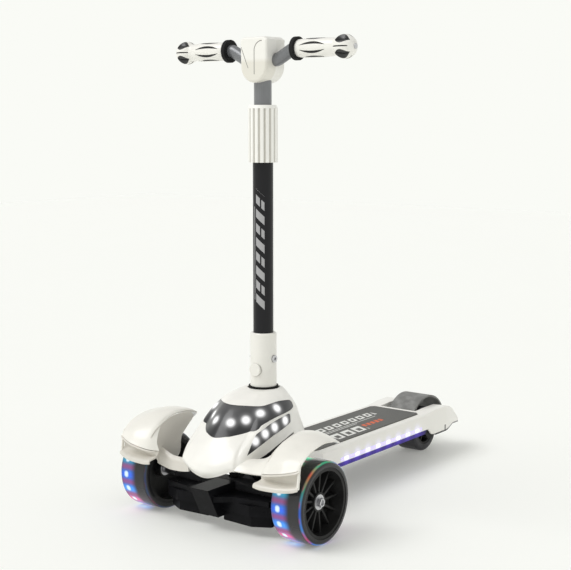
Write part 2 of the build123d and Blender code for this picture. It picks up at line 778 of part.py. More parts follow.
with BuildPart() as release_button:
    with BuildSketch(front_view.offset(button_back)):
        with Locations((0, button_z)):
            Circle(button_r)
    extrude(amount=button_thick)
    fillet(release_button.faces().sort_by(Axis.Y)[0].edges(), radius=1)
    with BuildSketch(front_view.offset(stem_end)):
        with Locations((0, button_z)):
            Circle(button_stem_r)
    extrude(amount=button_back - stem_end)
pieces["release_button"] = release_button

spring_room = stem_end + tube_out_r - tube_wall
pieces["button_spring"] = coil((0, pole_y - stem_end + 0.8, button_z), 0.5, 3.0, 2.6,
                               spring_room - 2.4, (0, 1, 0))

with BuildPart() as socket_bolt:
    for s in sides.values():
        with BuildSketch(side_view.offset(s * (socket_r - 0.8))):
            with Locations((0, bolt_z)):
                if s > 0:
                    Circle(bolt_head_r)
                else:
                    RegularPolygon(bolt_head_r, 6)
        extrude(amount=s * bolt_head_height)
    with BuildSketch(side_view.offset(-socket_r)):
        with Locations((0, bolt_z)):
            Circle(bolt_r)
    extrude(amount=2 * socket_r)
    with BuildSketch(side_view.offset(socket_r - 0.8 + bolt_head_height)):
        with Locations((0, bolt_z)):
            RegularPolygon(2.6, 6)
    extrude(amount=-1.8, mode=Mode.SUBTRACT)
pieces["socket_bolt"] = socket_bolt

# ---------------------------------------------------------------- cowl, lenses, fenders
cowl_wall = 3.0
cowl_sections = [
    (84.0, [(0, -138), (32, -134), (56, -102), (62, -40), (60, 44), (0, 48)]),
    (97.0, [(0, -144), (43, -131), (58, -102), (62, -40), (60, 42), (0, 46)]),
    (120.0, [(0, -127), (40, -115), (54, -100), (61, -22), (58, 40), (0, 44)]),
    (145.0, [(0, -107), (38, -83), (49, -62), (57, -15), (54, 36), (0, 41)]),
    (166.0, [(0, -89), (33, -67), (43, -44), (51, -2), (47, 33), (0, 38)]),
    (181.0, [(0, -69), (26, -53), (35, -33), (40, 3), (36, 30), (0, 34)]),
    (191.0, [(0, -36), (14, -33), (24, -20), (27.5, 3), (22, 24), (0, 27)]),
]


def cowl_body(inset, drop):
    """The cowl's outer shape, or with an inset its hollow; both follow the same sections."""
    with BuildPart() as body:
        for height, half in cowl_sections:
            with BuildSketch(floor.offset(height - drop)):
                Polygon(*mirrored(half), align=None)
                if inset:
                    offset(amount=-inset, kind=Kind.INTERSECTION)
        loft(ruled=True)
    return body


cowl_outer = cowl_body(0.0, 0.0)
cowl_inner = cowl_body(cowl_wall, cowl_wall)
lens_seat = cowl_body(cowl_wall - 1.2, cowl_wall - 1.2)

with BuildPart() as visor_zone:
    with BuildSketch(front_view):
        Polygon(*mirrored([(0, 136), (22, 139), (38, 148), (52, 163), (52, 175), (38, 180), (20, 180),
                           (0, 179)]), align=None)
    extrude(amount=nose_ahead_of_pole)


def side_lens_zone(s):
    with BuildPart() as zone:
        with BuildSketch(side_view.offset(s * 20)):
            Polygon((-107, 119), (-85, 138), (-14, 157), (-6, 155), (-8, 146), (-22, 140), (-100, 117),
                    align=None)
        extrude(amount=s * 60)
    return zone


cowl_top = cowl_sections[-1][0]
lens_zones = {"visor_lens": visor_zone}
for side, s in sides.items():
    lens_zones[f"side_lens_{side}"] = side_lens_zone(s)

with BuildPart() as cowl_shell:
    add(cowl_outer.part)
    add(cowl_inner.part, mode=Mode.SUBTRACT)
    for zone in lens_zones.values():
        add(zone.part, mode=Mode.SUBTRACT)
    # the hole for the socket, and the open flank above each fender arm
    with BuildSketch(floor.offset(150)):
        Circle(socket_r + 0.8)
    extrude(amount=60, mode=Mode.SUBTRACT)
    with BuildSketch(side_view):
        Polygon((-100, 60), (-100, 97), (-88, 110), (-13, 130), (-2, 130), (-2, 60), align=None)
    extrude(amount=80, both=True, mode=Mode.SUBTRACT)
pieces["cowl_shell"] = cowl_shell


def lens(zone):
    """A lens fills its opening in the cowl and shares the cowl's outer surface."""
    with BuildPart() as piece:
        add(cowl_outer.part)
        add(lens_seat.part, mode=Mode.SUBTRACT)
        add(zone.part, mode=Mode.INTERSECT)
    return piece


for name, zone in lens_zones.items():
    pieces[name] = lens(zone)

lamp_board_z = 158.0
with BuildPart() as lamp_board:
    with BuildSketch(floor.offset(lamp_board_z)):
        Polygon(*mirrored([(0, -78), (23, -64), (36, -42), (36, -30), (0, -30)]), align=None)
    extrude(amount=1.6)
    with BuildSketch(floor.offset(lamp_board_z + 1.6)):
        with Locations((0, -74), (13, -68), (-13, -68), (25, -54), (-25, -54)):
            Rectangle(5, 5)
    extrude(amount=1.6)
    # a post on each side carries the board from the cowl's flank
    for s in sides.values():
        with BuildSketch(floor.offset(lamp_board_z)):
            Polygon((s * 30, -40), (s * 30, -32), (s * 46.2, -26), (s * 45.2, -32), align=None)
        extrude(amount=1.6)
pieces["lamp_board"] = lamp_board

fender_inner = 97.0
fender_outer = 166.0
fender_rear_outer = 147.0
fender_wall = 3.0
fender_profile = [(-150, 87), (-149, 104), (-137, 122), (-109, 144), (-76, 154), (-47, 152),
                  (-20, 140), (2, 124)]


def fender(s):
    """A cover over the front wheel, with an inner wall and an arm that meets the cowl."""
    with BuildPart() as piece:
        with BuildSketch(side_view.offset(s * fender_inner)):
            Polygon(*fender_profile, *[(y + 1.5, z - fender_wall) for y, z in reversed(fender_profile)],
                    align=None)
        extrude(amount=s * (fender_outer - fender_inner))
        with BuildSketch(side_view.offset(s * fender_inner)):
            Polygon((-125, 130), (-109, 142), (-76, 152), (-62, 151), (-80, 88), (-92, 84), (-124, 84),
                    align=None)
        extrude(amount=s * fender_wall)
        with BuildSketch(floor.offset(60)):
            Polygon(*[(s * x, y) for x, y in [(fender_inner, -160), (fender_outer, -160),
                                              (fender_outer, -110), (fender_rear_outer, 10),
                                              (fender_inner, 10)]], align=None)
        extrude(amount=120, mode=Mode.INTERSECT)
        # the arm, an angle section from the cowl's front corner to the inner wall
        arm = [(58.6, -100), (58.6, -114), (fender_inner + 2, -124), (fender_inner + 2, -90)]
        with BuildSketch(floor.offset(94)):
            Polygon(*[(s * x, y) for x, y in arm], align=None)
        extrude(amount=fender_wall)
        with BuildSketch(floor.offset(82)):
            Polygon(*[(s * x, y) for x, y in [(58.6, -111), (58.6, -114), (fender_inner + 2, -124),
                                              (fender_inner + 2, -121)]], align=None)
        extrude(amount=14)
    return piece


for side, s in sides.items():
    pieces[f"fender_{side}"] = fender(s)

with BuildPart() as socket_ring:
    with BuildSketch(floor.offset(ring_low)):
        Circle(socket_r + 2.4)
        Circle(socket_r + fixed_gap, mode=Mode.SUBTRACT)
    extrude(amount=ring_high - ring_low)
    with BuildSketch(floor.offset(ring_low)):
        Circle(socket_r + 4)
        Circle(socket_r + 0.7, mode=Mode.SUBTRACT)
    extrude(amount=cowl_top - ring_low, mode=Mode.SUBTRACT)
pieces["socket_ring"] = socket_ring

# ---------------------------------------------------------------- tubes and height collar
wedge_top = collar_high - collar_lip - fixed_gap
wedge_low = wedge_top - wedge_height
outer_tube_top = wedge_low - fixed_gap

with BuildPart() as outer_tube:
    with BuildSketch(floor.offset(tube_low)):
        Circle(tube_out_r)
        Circle(tube_out_r - tube_wall, mode=Mode.SUBTRACT)
    extrude(amount=outer_tube_top - tube_low)
    with BuildSketch(front_view):
        with Locations((0, button_z)):
            Circle(button_stem_r + fixed_gap)
    extrude(amount=tube_out_r + 1, mode=Mode.SUBTRACT)
    with BuildSketch(side_view):
        with Locations((0, bolt_z)):
            Circle(bolt_r + fixed_gap)
    extrude(amount=tube_out_r + 1, both=True, mode=Mode.SUBTRACT)
pieces["outer_tube"] = outer_tube

with BuildPart() as height_collar:
    with BuildSketch(floor.offset(collar_low)):
        Circle(collar_r)
        with PolarLocations(collar_r + 0.6, flute_count):
            Circle(flute_r, mode=Mode.SUBTRACT)
        Circle(tube_out_r + running_gap, mode=Mode.SUBTRACT)
    extrude(amount=outer_tube_top - collar_low)
    with BuildSketch(floor.offset(outer_tube_top)):
        Circle(collar_r)
        with PolarLocations(collar_r + 0.6, flute_count):
            Circle(flute_r, mode=Mode.SUBTRACT)
        Circle(wedge_r + fixed_gap, mode=Mode.SUBTRACT)
    extrude(amount=collar_high - collar_lip - outer_tube_top)
    with BuildSketch(floor.offset(collar_high - collar_lip)):
        Circle(collar_r)
        Circle(inner_r + 0.4, mode=Mode.SUBTRACT)
    extrude(amount=collar_lip, taper=20)
    with BuildSketch(floor.offset(collar_high - collar_lip)):
        Circle(inner_r + 0.4)
    extrude(amount=collar_lip, mode=Mode.SUBTRACT)
pieces["height_collar"] = height_collar

with BuildPart() as collar_wedge:
    with BuildSketch(floor.offset(wedge_low)):
        Circle(wedge_r)
        Circle(inner_r + running_gap, mode=Mode.SUBTRACT)
        with Locations((0, wedge_r)):
            Rectangle(2.5, 2 * wedge_r - 4, mode=Mode.SUBTRACT)
    extrude(amount=wedge_height)
pieces["collar_wedge"] = collar_wedge

inner_top = bar_low_z - bar_r - 1
with BuildPart() as inner_tube:
    with BuildSketch(floor.offset(inner_low)):
        Circle(inner_r)
        Circle(inner_r - inner_wall, mode=Mode.SUBTRACT)
    extrude(amount=inner_top - inner_low)
pieces["inner_tube"] = inner_tube

with BuildPart() as tube_plug:
    with BuildSketch(floor.offset(inner_low - 2)):
        Circle(inner_r)
    extrude(amount=2)
    with BuildSketch(floor.offset(inner_low)):
        Circle(inner_r - inner_wall - fixed_gap)
    extrude(amount=16)
pieces["tube_plug"] = tube_plug

# ---------------------------------------------------------------- handlebar, head and grips
with BuildPart() as handlebar:
    with BuildLine() as bar_path:
        FilletPolyline(
            (-bar_half, pole_y, bar_grip_z), (-bar_rise_half, pole_y, bar_grip_z),
            (-bar_flat_half, pole_y, bar_low_z), (bar_flat_half, pole_y, bar_low_z),
            (bar_rise_half, pole_y, bar_grip_z), (bar_half, pole_y, bar_grip_z),
            radius=bar_bend_r)
    with BuildSketch(wheel_plane(-bar_half, 0, bar_grip_z)):
        Circle(bar_r)
        Circle(bar_r - bar_wall, mode=Mode.SUBTRACT)
    sweep(path=bar_path.wires()[0])
pieces["handlebar"] = handlebar


def head_shell(back):
    """Front or rear half of the head clamp: a shield with a round lower end."""
    with BuildPart() as shell:
        with BuildSketch(front_view):
            with Locations((0, head_low + head_round_r)):
                Circle(head_round_r)
            Polygon((-head_round_r, head_low + head_round_r), (head_round_r, head_low + head_round_r),
                    (head_half, head_top - 4), (head_half - 6, head_top), (6 - head_half, head_top),
                    (-head_half, head_top - 4), align=None)
        extrude(amount=-back * head_depth_half)
        outer_face = shell.faces().sort_by(Axis.Y)[-1 if back > 0 else 0]
        fillet(outer_face.edges(), radius=4)
        with BuildSketch(floor.offset(head_low - 1)):
            Circle(inner_r + fixed_gap)
        extrude(amount=inner_top + 1 - head_low, mode=Mode.SUBTRACT)
        with BuildSketch(wheel_plane(-bar_half, 0, bar_grip_z)):
            Circle(bar_r + fixed_gap)
        sweep(path=bar_path.wires()[0], mode=Mode.SUBTRACT)
        # hollow above the bar
        with Locations((0, pole_y, (bar_low_z + bar_r + 3 + head_top - 3) / 2)):
            Box(2 * head_half - 8, 2 * head_depth_half - 8, head_top - bar_low_z - bar_r - 6,
                mode=Mode.SUBTRACT)
    return shell


pieces["head_front"] = head_shell(-1)
pieces["head_rear"] = head_shell(1)


grip_start = flange_start + flange_thick
bar_axis = Axis((0, pole_y, bar_grip_z), (1, 0, 0))
grip_view = Plane(origin=(0, pole_y, bar_grip_z), x_dir=(1, 0, 0), z_dir=(0, -1, 0))
core_end = bar_half + 0.2
core_cap = 2.0
sleeve_bore = grip_core_r + fixed_gap
waist_x = ball_x - 16.0
waist_r = 12.6


def grip(s):
    """A revolved sleeve that swells under the palm and ends in a ball."""
    with BuildPart() as sleeve:
        with BuildSketch(grip_view):
            with BuildLine():
                Polyline((s * waist_x, waist_r), (s * (ball_x - 11.5), waist_r + 0.2))
                ThreePointArc((s * (ball_x - 11.5), waist_r + 0.2), (s * ball_x, ball_r),
                              (s * grip_end, 5))
                Polyline((s * grip_end, 5), (s * grip_end, 2.2), (s * (core_end + core_cap), 2.2),
                         (s * (core_end + core_cap), sleeve_bore), (s * grip_start, sleeve_bore),
                         (s * grip_start, waist_r))
                ThreePointArc((s * grip_start, waist_r), (s * (grip_start + waist_x) / 2, 14.2),
                              (s * waist_x, waist_r))
            make_face()
        revolve(axis=bar_axis)
    return sleeve


for side, s in sides.items():
    pieces[f"grip_{side}"] = grip(s)

with BuildPart() as grip_cores:
    for s in sides.values():
        with BuildSketch(grip_view):
            Polygon((s * grip_start, grip_core_r), (s * (core_end + core_cap), grip_core_r),
                    (s * (core_end + core_cap), 2.2), (s * core_end, 2.2),
                    (s * core_end, bar_r + fixed_gap), (s * grip_start, bar_r + fixed_gap), align=None)
        revolve(axis=bar_axis)
pieces["grip_cores"] = grip_cores

with BuildPart() as grip_flanges:
    for s in sides.values():
        with BuildSketch(wheel_plane(s * flange_start, 0, bar_grip_z)):
            Circle(flange_r)
            Circle(bar_r + fixed_gap, mode=Mode.SUBTRACT)
        extrude(amount=s * flange_thick)
pieces["grip_flanges"] = grip_flanges

with BuildPart() as bar_end_screws:
    for s in sides.values():
        with BuildSketch(wheel_plane(s * grip_end, 0, bar_grip_z)):
            Circle(4)
        extrude(amount=s * 1.2)
        with BuildSketch(wheel_plane(s * grip_end, 0, bar_grip_z)):
            Circle(2.1)
        extrude(amount=-s * 12)
pieces["bar_end_screws"] = bar_end_screws

# ---------------------------------------------------------------- write the pieces
os.makedirs("parts", exist_ok=True)
for name, piece in pieces.items():
    piece.part.label = name
    export_step(piece.part, f"parts/{name}.step")
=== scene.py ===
import math

import bmesh
import bpy
import numpy as np
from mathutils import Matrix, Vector


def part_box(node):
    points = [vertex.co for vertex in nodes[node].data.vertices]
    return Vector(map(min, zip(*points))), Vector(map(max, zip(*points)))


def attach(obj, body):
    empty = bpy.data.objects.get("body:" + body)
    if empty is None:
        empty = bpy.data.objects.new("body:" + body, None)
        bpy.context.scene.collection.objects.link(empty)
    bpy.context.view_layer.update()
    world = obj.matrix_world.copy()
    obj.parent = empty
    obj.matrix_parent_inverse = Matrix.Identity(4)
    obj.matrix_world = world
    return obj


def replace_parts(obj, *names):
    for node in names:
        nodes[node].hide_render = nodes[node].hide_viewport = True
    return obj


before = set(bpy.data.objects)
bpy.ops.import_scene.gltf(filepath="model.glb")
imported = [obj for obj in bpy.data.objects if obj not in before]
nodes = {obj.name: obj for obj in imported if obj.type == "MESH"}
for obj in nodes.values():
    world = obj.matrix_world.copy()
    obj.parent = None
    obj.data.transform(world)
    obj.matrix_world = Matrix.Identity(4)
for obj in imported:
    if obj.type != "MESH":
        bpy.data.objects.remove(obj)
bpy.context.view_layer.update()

mm = 0.001
scene = bpy.context.scene
tube_low, tube_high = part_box("outer_tube")
pole = (tube_low + tube_high) / 2  # the handlebar pole's middle: places below count from its axis
tube_radius = (tube_high.x - tube_low.x) / 2
sides = {"left": 1, "right": -1}   # the rider's left is towards +X
warm_white = (0.90, 0.885, 0.84)
window_black = (0.012, 0.012, 0.013)


def at(x, behind, height):
    """A place in mm: across from the middle, behind the pole, above the floor."""
    return Vector((x * mm, pole.y + behind * mm, height * mm))


# ---------------------------------------------------------------- finishes
class Value:
    """A number that changes over a surface. Arithmetic on it adds Math nodes to its finish."""

    def __init__(self, finish, socket):
        self.finish = finish
        self.socket = socket

    def maths(self, operation, *numbers):
        places = dict(enumerate(numbers))
        return self.finish.add("Math", {"operation": operation}, places)

    def __add__(self, other):
        return self.maths("ADD", self, other)

    __radd__ = __add__

    def __sub__(self, other):
        return self.maths("SUBTRACT", self, other)

    def __rsub__(self, other):
        return self.maths("SUBTRACT", other, self)

    def __mul__(self, other):
        return self.maths("MULTIPLY", self, other)

    __rmul__ = __mul__

    def __truediv__(self, other):
        return self.maths("DIVIDE", self, other)

    def __rtruediv__(self, other):
        return self.maths("DIVIDE", other, self)

    def __mod__(self, other):
        return self.maths("FLOORED_MODULO", self, other)

    def __abs__(self):
        return self.maths("ABSOLUTE", self)

    def __gt__(self, other):
        return self.maths("GREATER_THAN", self, other)

    def __lt__(self, other):
        return self.maths("LESS_THAN", self, other)

    def fade(self, start, end, low=0.0, high=1.0):
        """Goes smoothly from low to high as this value goes from start to end."""
        return self.finish.add("MapRange", {"interpolation_type": "SMOOTHSTEP"},
                               {"Value": self, "From Min": start, "From Max": end,
                                "To Min": low, "To Max": high})


class Nodes:
    """The nodes of a finish or of the sky, and the node that they feed."""

    def __init__(self, holder, shader):
        holder.use_nodes = True
        self.tree = holder.node_tree
        self.shader = self.tree.nodes[shader]

    def add(self, kind, settings=None, inputs=None, output=0):
        """Adds a node: its settings first, then a value or a link for each input."""
        made = self.tree.nodes.new("ShaderNode" + kind)
        for name, value in (settings or {}).items():
            if name == "stops":
                ramp = made.color_ramp
                while len(ramp.elements) < len(value):
                    ramp.elements.new(0.5)
                for element, (place, colour) in zip(ramp.elements, value):
                    element.position = place
                    element.color = (*colour, 1)
            else:
                setattr(made, name, value)
        for place, value in (inputs or {}).items():
            if isinstance(value, Value):
                self.tree.links.new(value.socket, made.inputs[place])
            else:
                made.inputs[place].default_value = value
        return Value(self, made.outputs[output])

    def feed(self, socket, value):
        self.tree.links.new(value.socket, self.shader.inputs[socket])


class Finish(Nodes):
    """One material: a Principled shader and the nodes that feed it."""

    def __init__(self, name, **constants):
        self.material = bpy.data.materials.new(name)
        super().__init__(self.material, "Principled BSDF")
        for socket, value in constants.items():
            self.shader.inputs[socket.replace("_", " ")].default_value = value
        self.coordinates = self.add("TexCoord", output="Object")
        self.x, self.y, self.z = (self.add("SeparateXYZ", {}, {0: self.coordinates}, axis)
                                  for axis in "XYZ")

    def noise(self, scale, detail=2.0, stretch=None):
        """Smooth noise from 0 to 1, scale cells in a metre, stretched along an axis if asked."""
        where = self.coordinates
        if stretch:
            where = self.add("Mapping", {}, {"Vector": where, "Scale": stretch})
        return self.add("TexNoise", {}, {"Vector": where, "Scale": scale, "Detail": detail})

    def blend(self, mask, first, second):
        """The first colour where the mask is 0, the second where it is 1."""
        # a Mix node has its two colours at inputs 6 and 7, and the mixed colour at output 2
        colours = {6: first, 7: second}
        for place, colour in colours.items():
            if isinstance(colour, tuple):
                colours[place] = (*colour, 1)
        return self.add("Mix", {"data_type": "RGBA"}, {0: mask, **colours}, 2)

    def relief(self, height, distance, strength=0.5):
        """Bumps the surface by the height, full height being the distance in metres."""
        self.feed("Normal", self.add("Bump", {}, {"Strength": strength, "Distance": distance,
                                                  "Height": height}))

    def distance(self, x, y, z):
        """How far each point is from a place, in metres."""
        return self.add("VectorMath", {"operation": "DISTANCE"},
                        {0: self.coordinates, 1: (x, y, z)}, "Value")

    def shine(self, light, colour, unlit=(0.0, 0.0, 0.0), strength=1.0):
        """Gives off the colour where the light is 1 or more, the unlit colour where it is 0."""
        mask = light.maths("MINIMUM", light, 1.0)
        self.feed("Emission Color", self.blend(mask, unlit, colour))
        self.shader.inputs["Emission Strength"].default_value = strength


def angle(rise, run):
    """The angle whose tangent is rise over run, in radians."""
    return rise.maths("ARCTAN2", rise, run)


def off_axis(finish, offsets):
    """How far each point is from an axis, given its offset in each of the other directions."""
    flat = finish.add("CombineXYZ", {}, offsets)
    return finish.add("VectorMath", {"operation": "LENGTH"}, {0: flat}, "Value")


def wear(finish, colour, shade, scale, roughness, spread):
    """Mottles a colour with another shade of it. The roughness wanders the same way."""
    patches = finish.noise(scale, 4.0)
    if colour:
        other = tuple(c * shade for c in colour)
        finish.feed("Base Color", finish.blend(patches.fade(0.35, 0.75), colour, other))
    finish.feed("Roughness", patches * spread + (roughness - spread / 2))


def glossy_white(name, colour=None):
    """White plastic under a clear coat, with a faint orange peel. The caller may paint it."""
    finish = Finish(name, Coat_Weight=0.25, Coat_Roughness=0.12, IOR=1.5)
    wear(finish, colour, 0.95, 30.0, 0.34, 0.08)
    finish.relief(finish.noise(900.0, 1.0), 0.00004, 0.4)
    return finish


def grained_black(name, colour=(0.008, 0.008, 0.009), roughness=0.42, specular=0.16):
    """Moulded black plastic with a fine leather-like grain."""
    finish = Finish(name, IOR=1.48, Specular_IOR_Level=specular)
    wear(finish, colour, 1.5, 60.0, roughness, 0.12)
    cells = finish.add("TexVoronoi", {"feature": "SMOOTH_F1"},
                       {"Vector": finish.coordinates, "Scale": 1400.0}, "Distance")
    finish.relief(cells, 0.0001, 0.35)
    return finish


def drawn_metal(name, colours, fineness, squeeze, smoothest, spread, **constants):
    """Metal with fine lines drawn along it, which change its colour and its roughness."""
    finish = Finish(name, **constants)
    lines = finish.noise(fineness, 3.0, (1, 1, squeeze))
    finish.feed("Base Color", finish.blend(lines, *colours))
    finish.feed("Roughness", lines * spread + smoothest)
    finish.relief(lines, 0.00003, 0.3)
    return finish


white_body = glossy_white("white_body", warm_white)
white_tube_parts = glossy_white("white_tube_parts", (0.85, 0.835, 0.785))
grained = grained_black("grained_black")
smooth_black = grained_black("bumper_black", (0.006, 0.006, 0.007), 0.3, 0.06)
zinc = drawn_metal("zinc_plate", [(0.62, 0.62, 0.64), (0.496, 0.496, 0.512)], 900.0, 0.1,
                   0.22, 0.16, Metallic=1.0)
grey_tube = drawn_metal("grey_tube", [(0.16, 0.165, 0.175), (0.22, 0.225, 0.235)], 700.0, 0.03,
                        0.26, 0.12, Metallic=0.35, IOR=1.6)
dark_steel = grained_black("coated_steel", (0.02, 0.02, 0.022), 0.5)


def grip_finish():
    """White grip with dark windows: curved slits in pairs, and openings round the end knob."""
    finish = glossy_white("grip_white")
    low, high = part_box("grip_left")
    length = abs(finish.x) - low.x
    turn = angle(finish.z - (low.z + high.z) / 2, (low.y + high.y) / 2 - finish.y)
    quarter = abs(((turn / (math.pi / 2) + 0.5) % 1.0) - 0.5) * (math.pi / 2)

    def swelling(middle, half):
        """1 at a window's middle, 0 at its ends, and less than 0 beyond them."""
        place = (length - middle) / half
        return 1 - place * place

    swell = swelling(0.0315, 0.0225)
    slits = (abs(quarter - (swell * 0.24 + 0.24)) < swell * 0.14) * (swell > 0)
    swell = swelling(0.0810, 0.0125)
    openings = (abs(quarter - math.pi / 4) < swell * 0.52) * (swell > 0)
    groove = (quarter < 0.055) * (abs(length - 0.080) < 0.012)
    windows = (slits + openings + groove) > 0.5
    finish.feed("Base Color", finish.blend(windows, (0.88, 0.865, 0.82), window_black))
    return finish


def head_finish():
    """White head shell, painted darker below as shade, with two thin fold lines painted down its
    face as dark shade.
    """
    finish = glossy_white("head_white")
    low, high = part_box("head_front")
    x, z = finish.x, finish.z - low.z
    # the first fold goes up beside the middle and bends over; the second slants
    upright = (abs(x - 0.002) < 0.0007) * (z > 0.012) * (z < 0.046)
    from_centre = finish.distance(0.016, low.y, low.z + 0.046)
    bend = (abs(from_centre - 0.014) < 0.0007) * (x < 0.016) * (z > 0.0459)
    slant = (abs(x + 0.0215 + (z - 0.050) * 0.42) < 0.0006) * (z > 0.021) * (z < 0.052)
    fold_shade = (upright + bend + slant) * (finish.y < low.y + 0.012)
    # painted shade: the shell is painted a darker beige below this height, and the fold lines a
    # dark grey-brown
    tone = z.fade(0.028, 0.036)
    shell = finish.blend(tone, (0.78, 0.755, 0.68), (0.89, 0.875, 0.83))
    finish.feed("Base Color", finish.blend(fold_shade > 0.5, shell, (0.25, 0.24, 0.22)))
    return finish


def collar_finish():
    """White fluted collar, with painted shade making the flutes darker than the ribs between them.
    """
    finish = glossy_white("collar_white")
    away = off_axis(finish, {0: finish.x, 1: finish.y - pole.y})
    top_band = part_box("height_collar")[1].z - 0.004
    # painted shade: the flutes are painted a dark beige; the ribs and the top band keep the white
    unshaded_rib = away.fade(0.0203, 0.0216) + (finish.z > top_band)
    finish.feed("Base Color", finish.blend(unshaded_rib, (0.52, 0.50, 0.45), (0.93, 0.92, 0.88)))
    return finish


# the slanted bars on the lower tube: heights of the lowest and the highest, their pitch and width
bars_low, bars_high = 0.318, 0.487
bar_pitch, bar_width = 0.0211, 0.0125
column_middle = math.radians(20)
column_half = 0.0068


def black_tube_finish():
    """Powder-coated black tube with a column of slanted grey bars down its front left."""
    finish = Finish("black_tube", Coat_Weight=0.1, IOR=1.5, Specular_IOR_Level=0.2)
    across = (angle(finish.x, pole.y - finish.y) - column_middle) * tube_radius
    slant = finish.z + across * 0.9
    bars = ((slant - bars_low) % bar_pitch < bar_width) * (slant > bars_low) * (slant < bars_high)
    # every other bar is split down its middle, and a thin line runs beside the column
    split = (abs(across - 0.001) > 0.0011) + ((slant / bar_pitch) % 2.0 > 1.0)
    line_top = bars_high - 0.03
    thin_line = (abs(across + 0.0098) < 0.0006) * (slant > bars_low) * (slant < line_top)
    mask = (abs(across) < column_half) * bars * (split > 0.5) + thin_line
    speckle = finish.noise(1500.0, 2.0)
    finish.feed("Base Color", finish.blend(mask, (0.009, 0.009, 0.011), (0.40, 0.40, 0.41)))
    finish.feed("Roughness", speckle * 0.15 + 0.3)
    finish.relief(speckle, 0.00005, 0.35)
    return finish


# the printed rows on the mat: from one slanted block to the next
block_pitch, bold_pitch, orange_pitch = 0.0232, 0.031, 0.0125


def mat_finish():
    """Grey anti-slip mat with a fine raised grid, printed with pale and orange blocks."""
    finish = Finish("deck_mat", IOR=1.45)
    from_front = finish.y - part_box("grip_mat")[0].y
    slanted = from_front + finish.x * 0.45

    def row(centre, half, start, end):
        """Where a printed row lies: across the mat, and from the front edge."""
        return (abs(finish.x - centre) < half) * (from_front > start) * (from_front < end)

    # a long row of slanted blocks, a pair of rules, and a short row of bold blocks
    blocks = row(-0.016, 0.0085, 0.080, 0.266) * (slanted % block_pitch < 0.0165)
    slots = (abs(finish.x + 0.016) < 0.0042) * ((slanted - 0.0045) % block_pitch < 0.0075)
    rules = row(-0.001, 0.0008, 0.085, 0.250) + row(0.0042, 0.0008, 0.080, 0.185)
    bold = row(0.027, 0.0125, 0.082, 0.172) * (slanted % bold_pitch < 0.0245)
    hollow = (abs(finish.x - 0.029) < 0.0062) * ((slanted - 0.0065) % bold_pitch < 0.0115)
    orange = row(0.021, 0.0058, 0.178, 0.236) * (slanted % orange_pitch < 0.0085)
    print_mask = (blocks * (1 - slots) + rules + bold * (1 - hollow)) > 0.5
    patches = finish.noise(55.0, 4.0)
    ground = finish.blend(patches, (0.108, 0.108, 0.102), (0.132, 0.132, 0.124))
    printed = finish.blend(print_mask, ground, (0.80, 0.80, 0.77))
    finish.feed("Base Color", finish.blend(orange, printed, (0.70, 0.13, 0.05)))
    finish.feed("Roughness", patches * 0.15 + 0.55)
    grid = finish.add("TexVoronoi", {"feature": "F1"},
                      {"Vector": finish.coordinates, "Scale": 620.0}, "Distance")
    finish.relief(grid, 0.00025, 0.6)
    return finish


def glow(finish, spots, reach, core):
    """Light that falls off from each spot: a small bright core in a wider soft halo."""
    total = 0.0
    for x, y, z in spots:
        away = finish.distance(x, y, z)
        halo = away.fade(0.0, reach, 1.0, 0.0)
        heart = away.fade(core * 0.35, core * 1.8, 1.0, 0.0)
        total = total + (halo * halo * halo * 0.5 + heart)
    return total


def smoked_finish(name, spots, rim_low, rim_high):
    """Smoked lens over white lamps: darker at its lower edge, and lit round each lamp."""
    finish = Finish(name, Coat_Weight=0.25, Coat_Roughness=0.12, IOR=1.5, Specular_IOR_Level=0.3)
    height = finish.z.fade(rim_low, rim_high)
    finish.feed("Base Color", finish.blend(height, (0.022, 0.022, 0.024), (0.075, 0.075, 0.078)))
    finish.feed("Roughness", finish.noise(60.0) * 0.1 + 0.26)
    finish.shine(glow(finish, spots, 0.021, 0.0053), (0.95, 0.95, 0.95))
    return finish


# the lamps' colours once round a front wheel
wheel_hues = [(0.0, (0.02, 0.13, 0.85)), (0.07, (0.05, 0.35, 1.0)), (0.125, (0.85, 0.06, 0.20)),
              (0.17, (0.03, 0.22, 0.95)), (0.22, (0.08, 0.45, 1.0)), (0.27, (0.12, 0.04, 0.80)),
              (0.36, (0.45, 0.08, 0.85)), (0.45, (0.80, 0.20, 0.75)), (0.52, (0.15, 0.45, 0.95)),
              (0.60, (0.10, 0.70, 0.90)), (0.66, (0.20, 0.15, 0.85)), (0.72, (0.04, 0.60, 0.25)),
              (0.79, (0.05, 0.65, 0.35)), (0.85, (0.90, 0.18, 0.04)), (0.91, (0.05, 0.45, 0.25)),
              (1.0, (0.02, 0.13, 0.85))]
lamps_a_wheel = 16


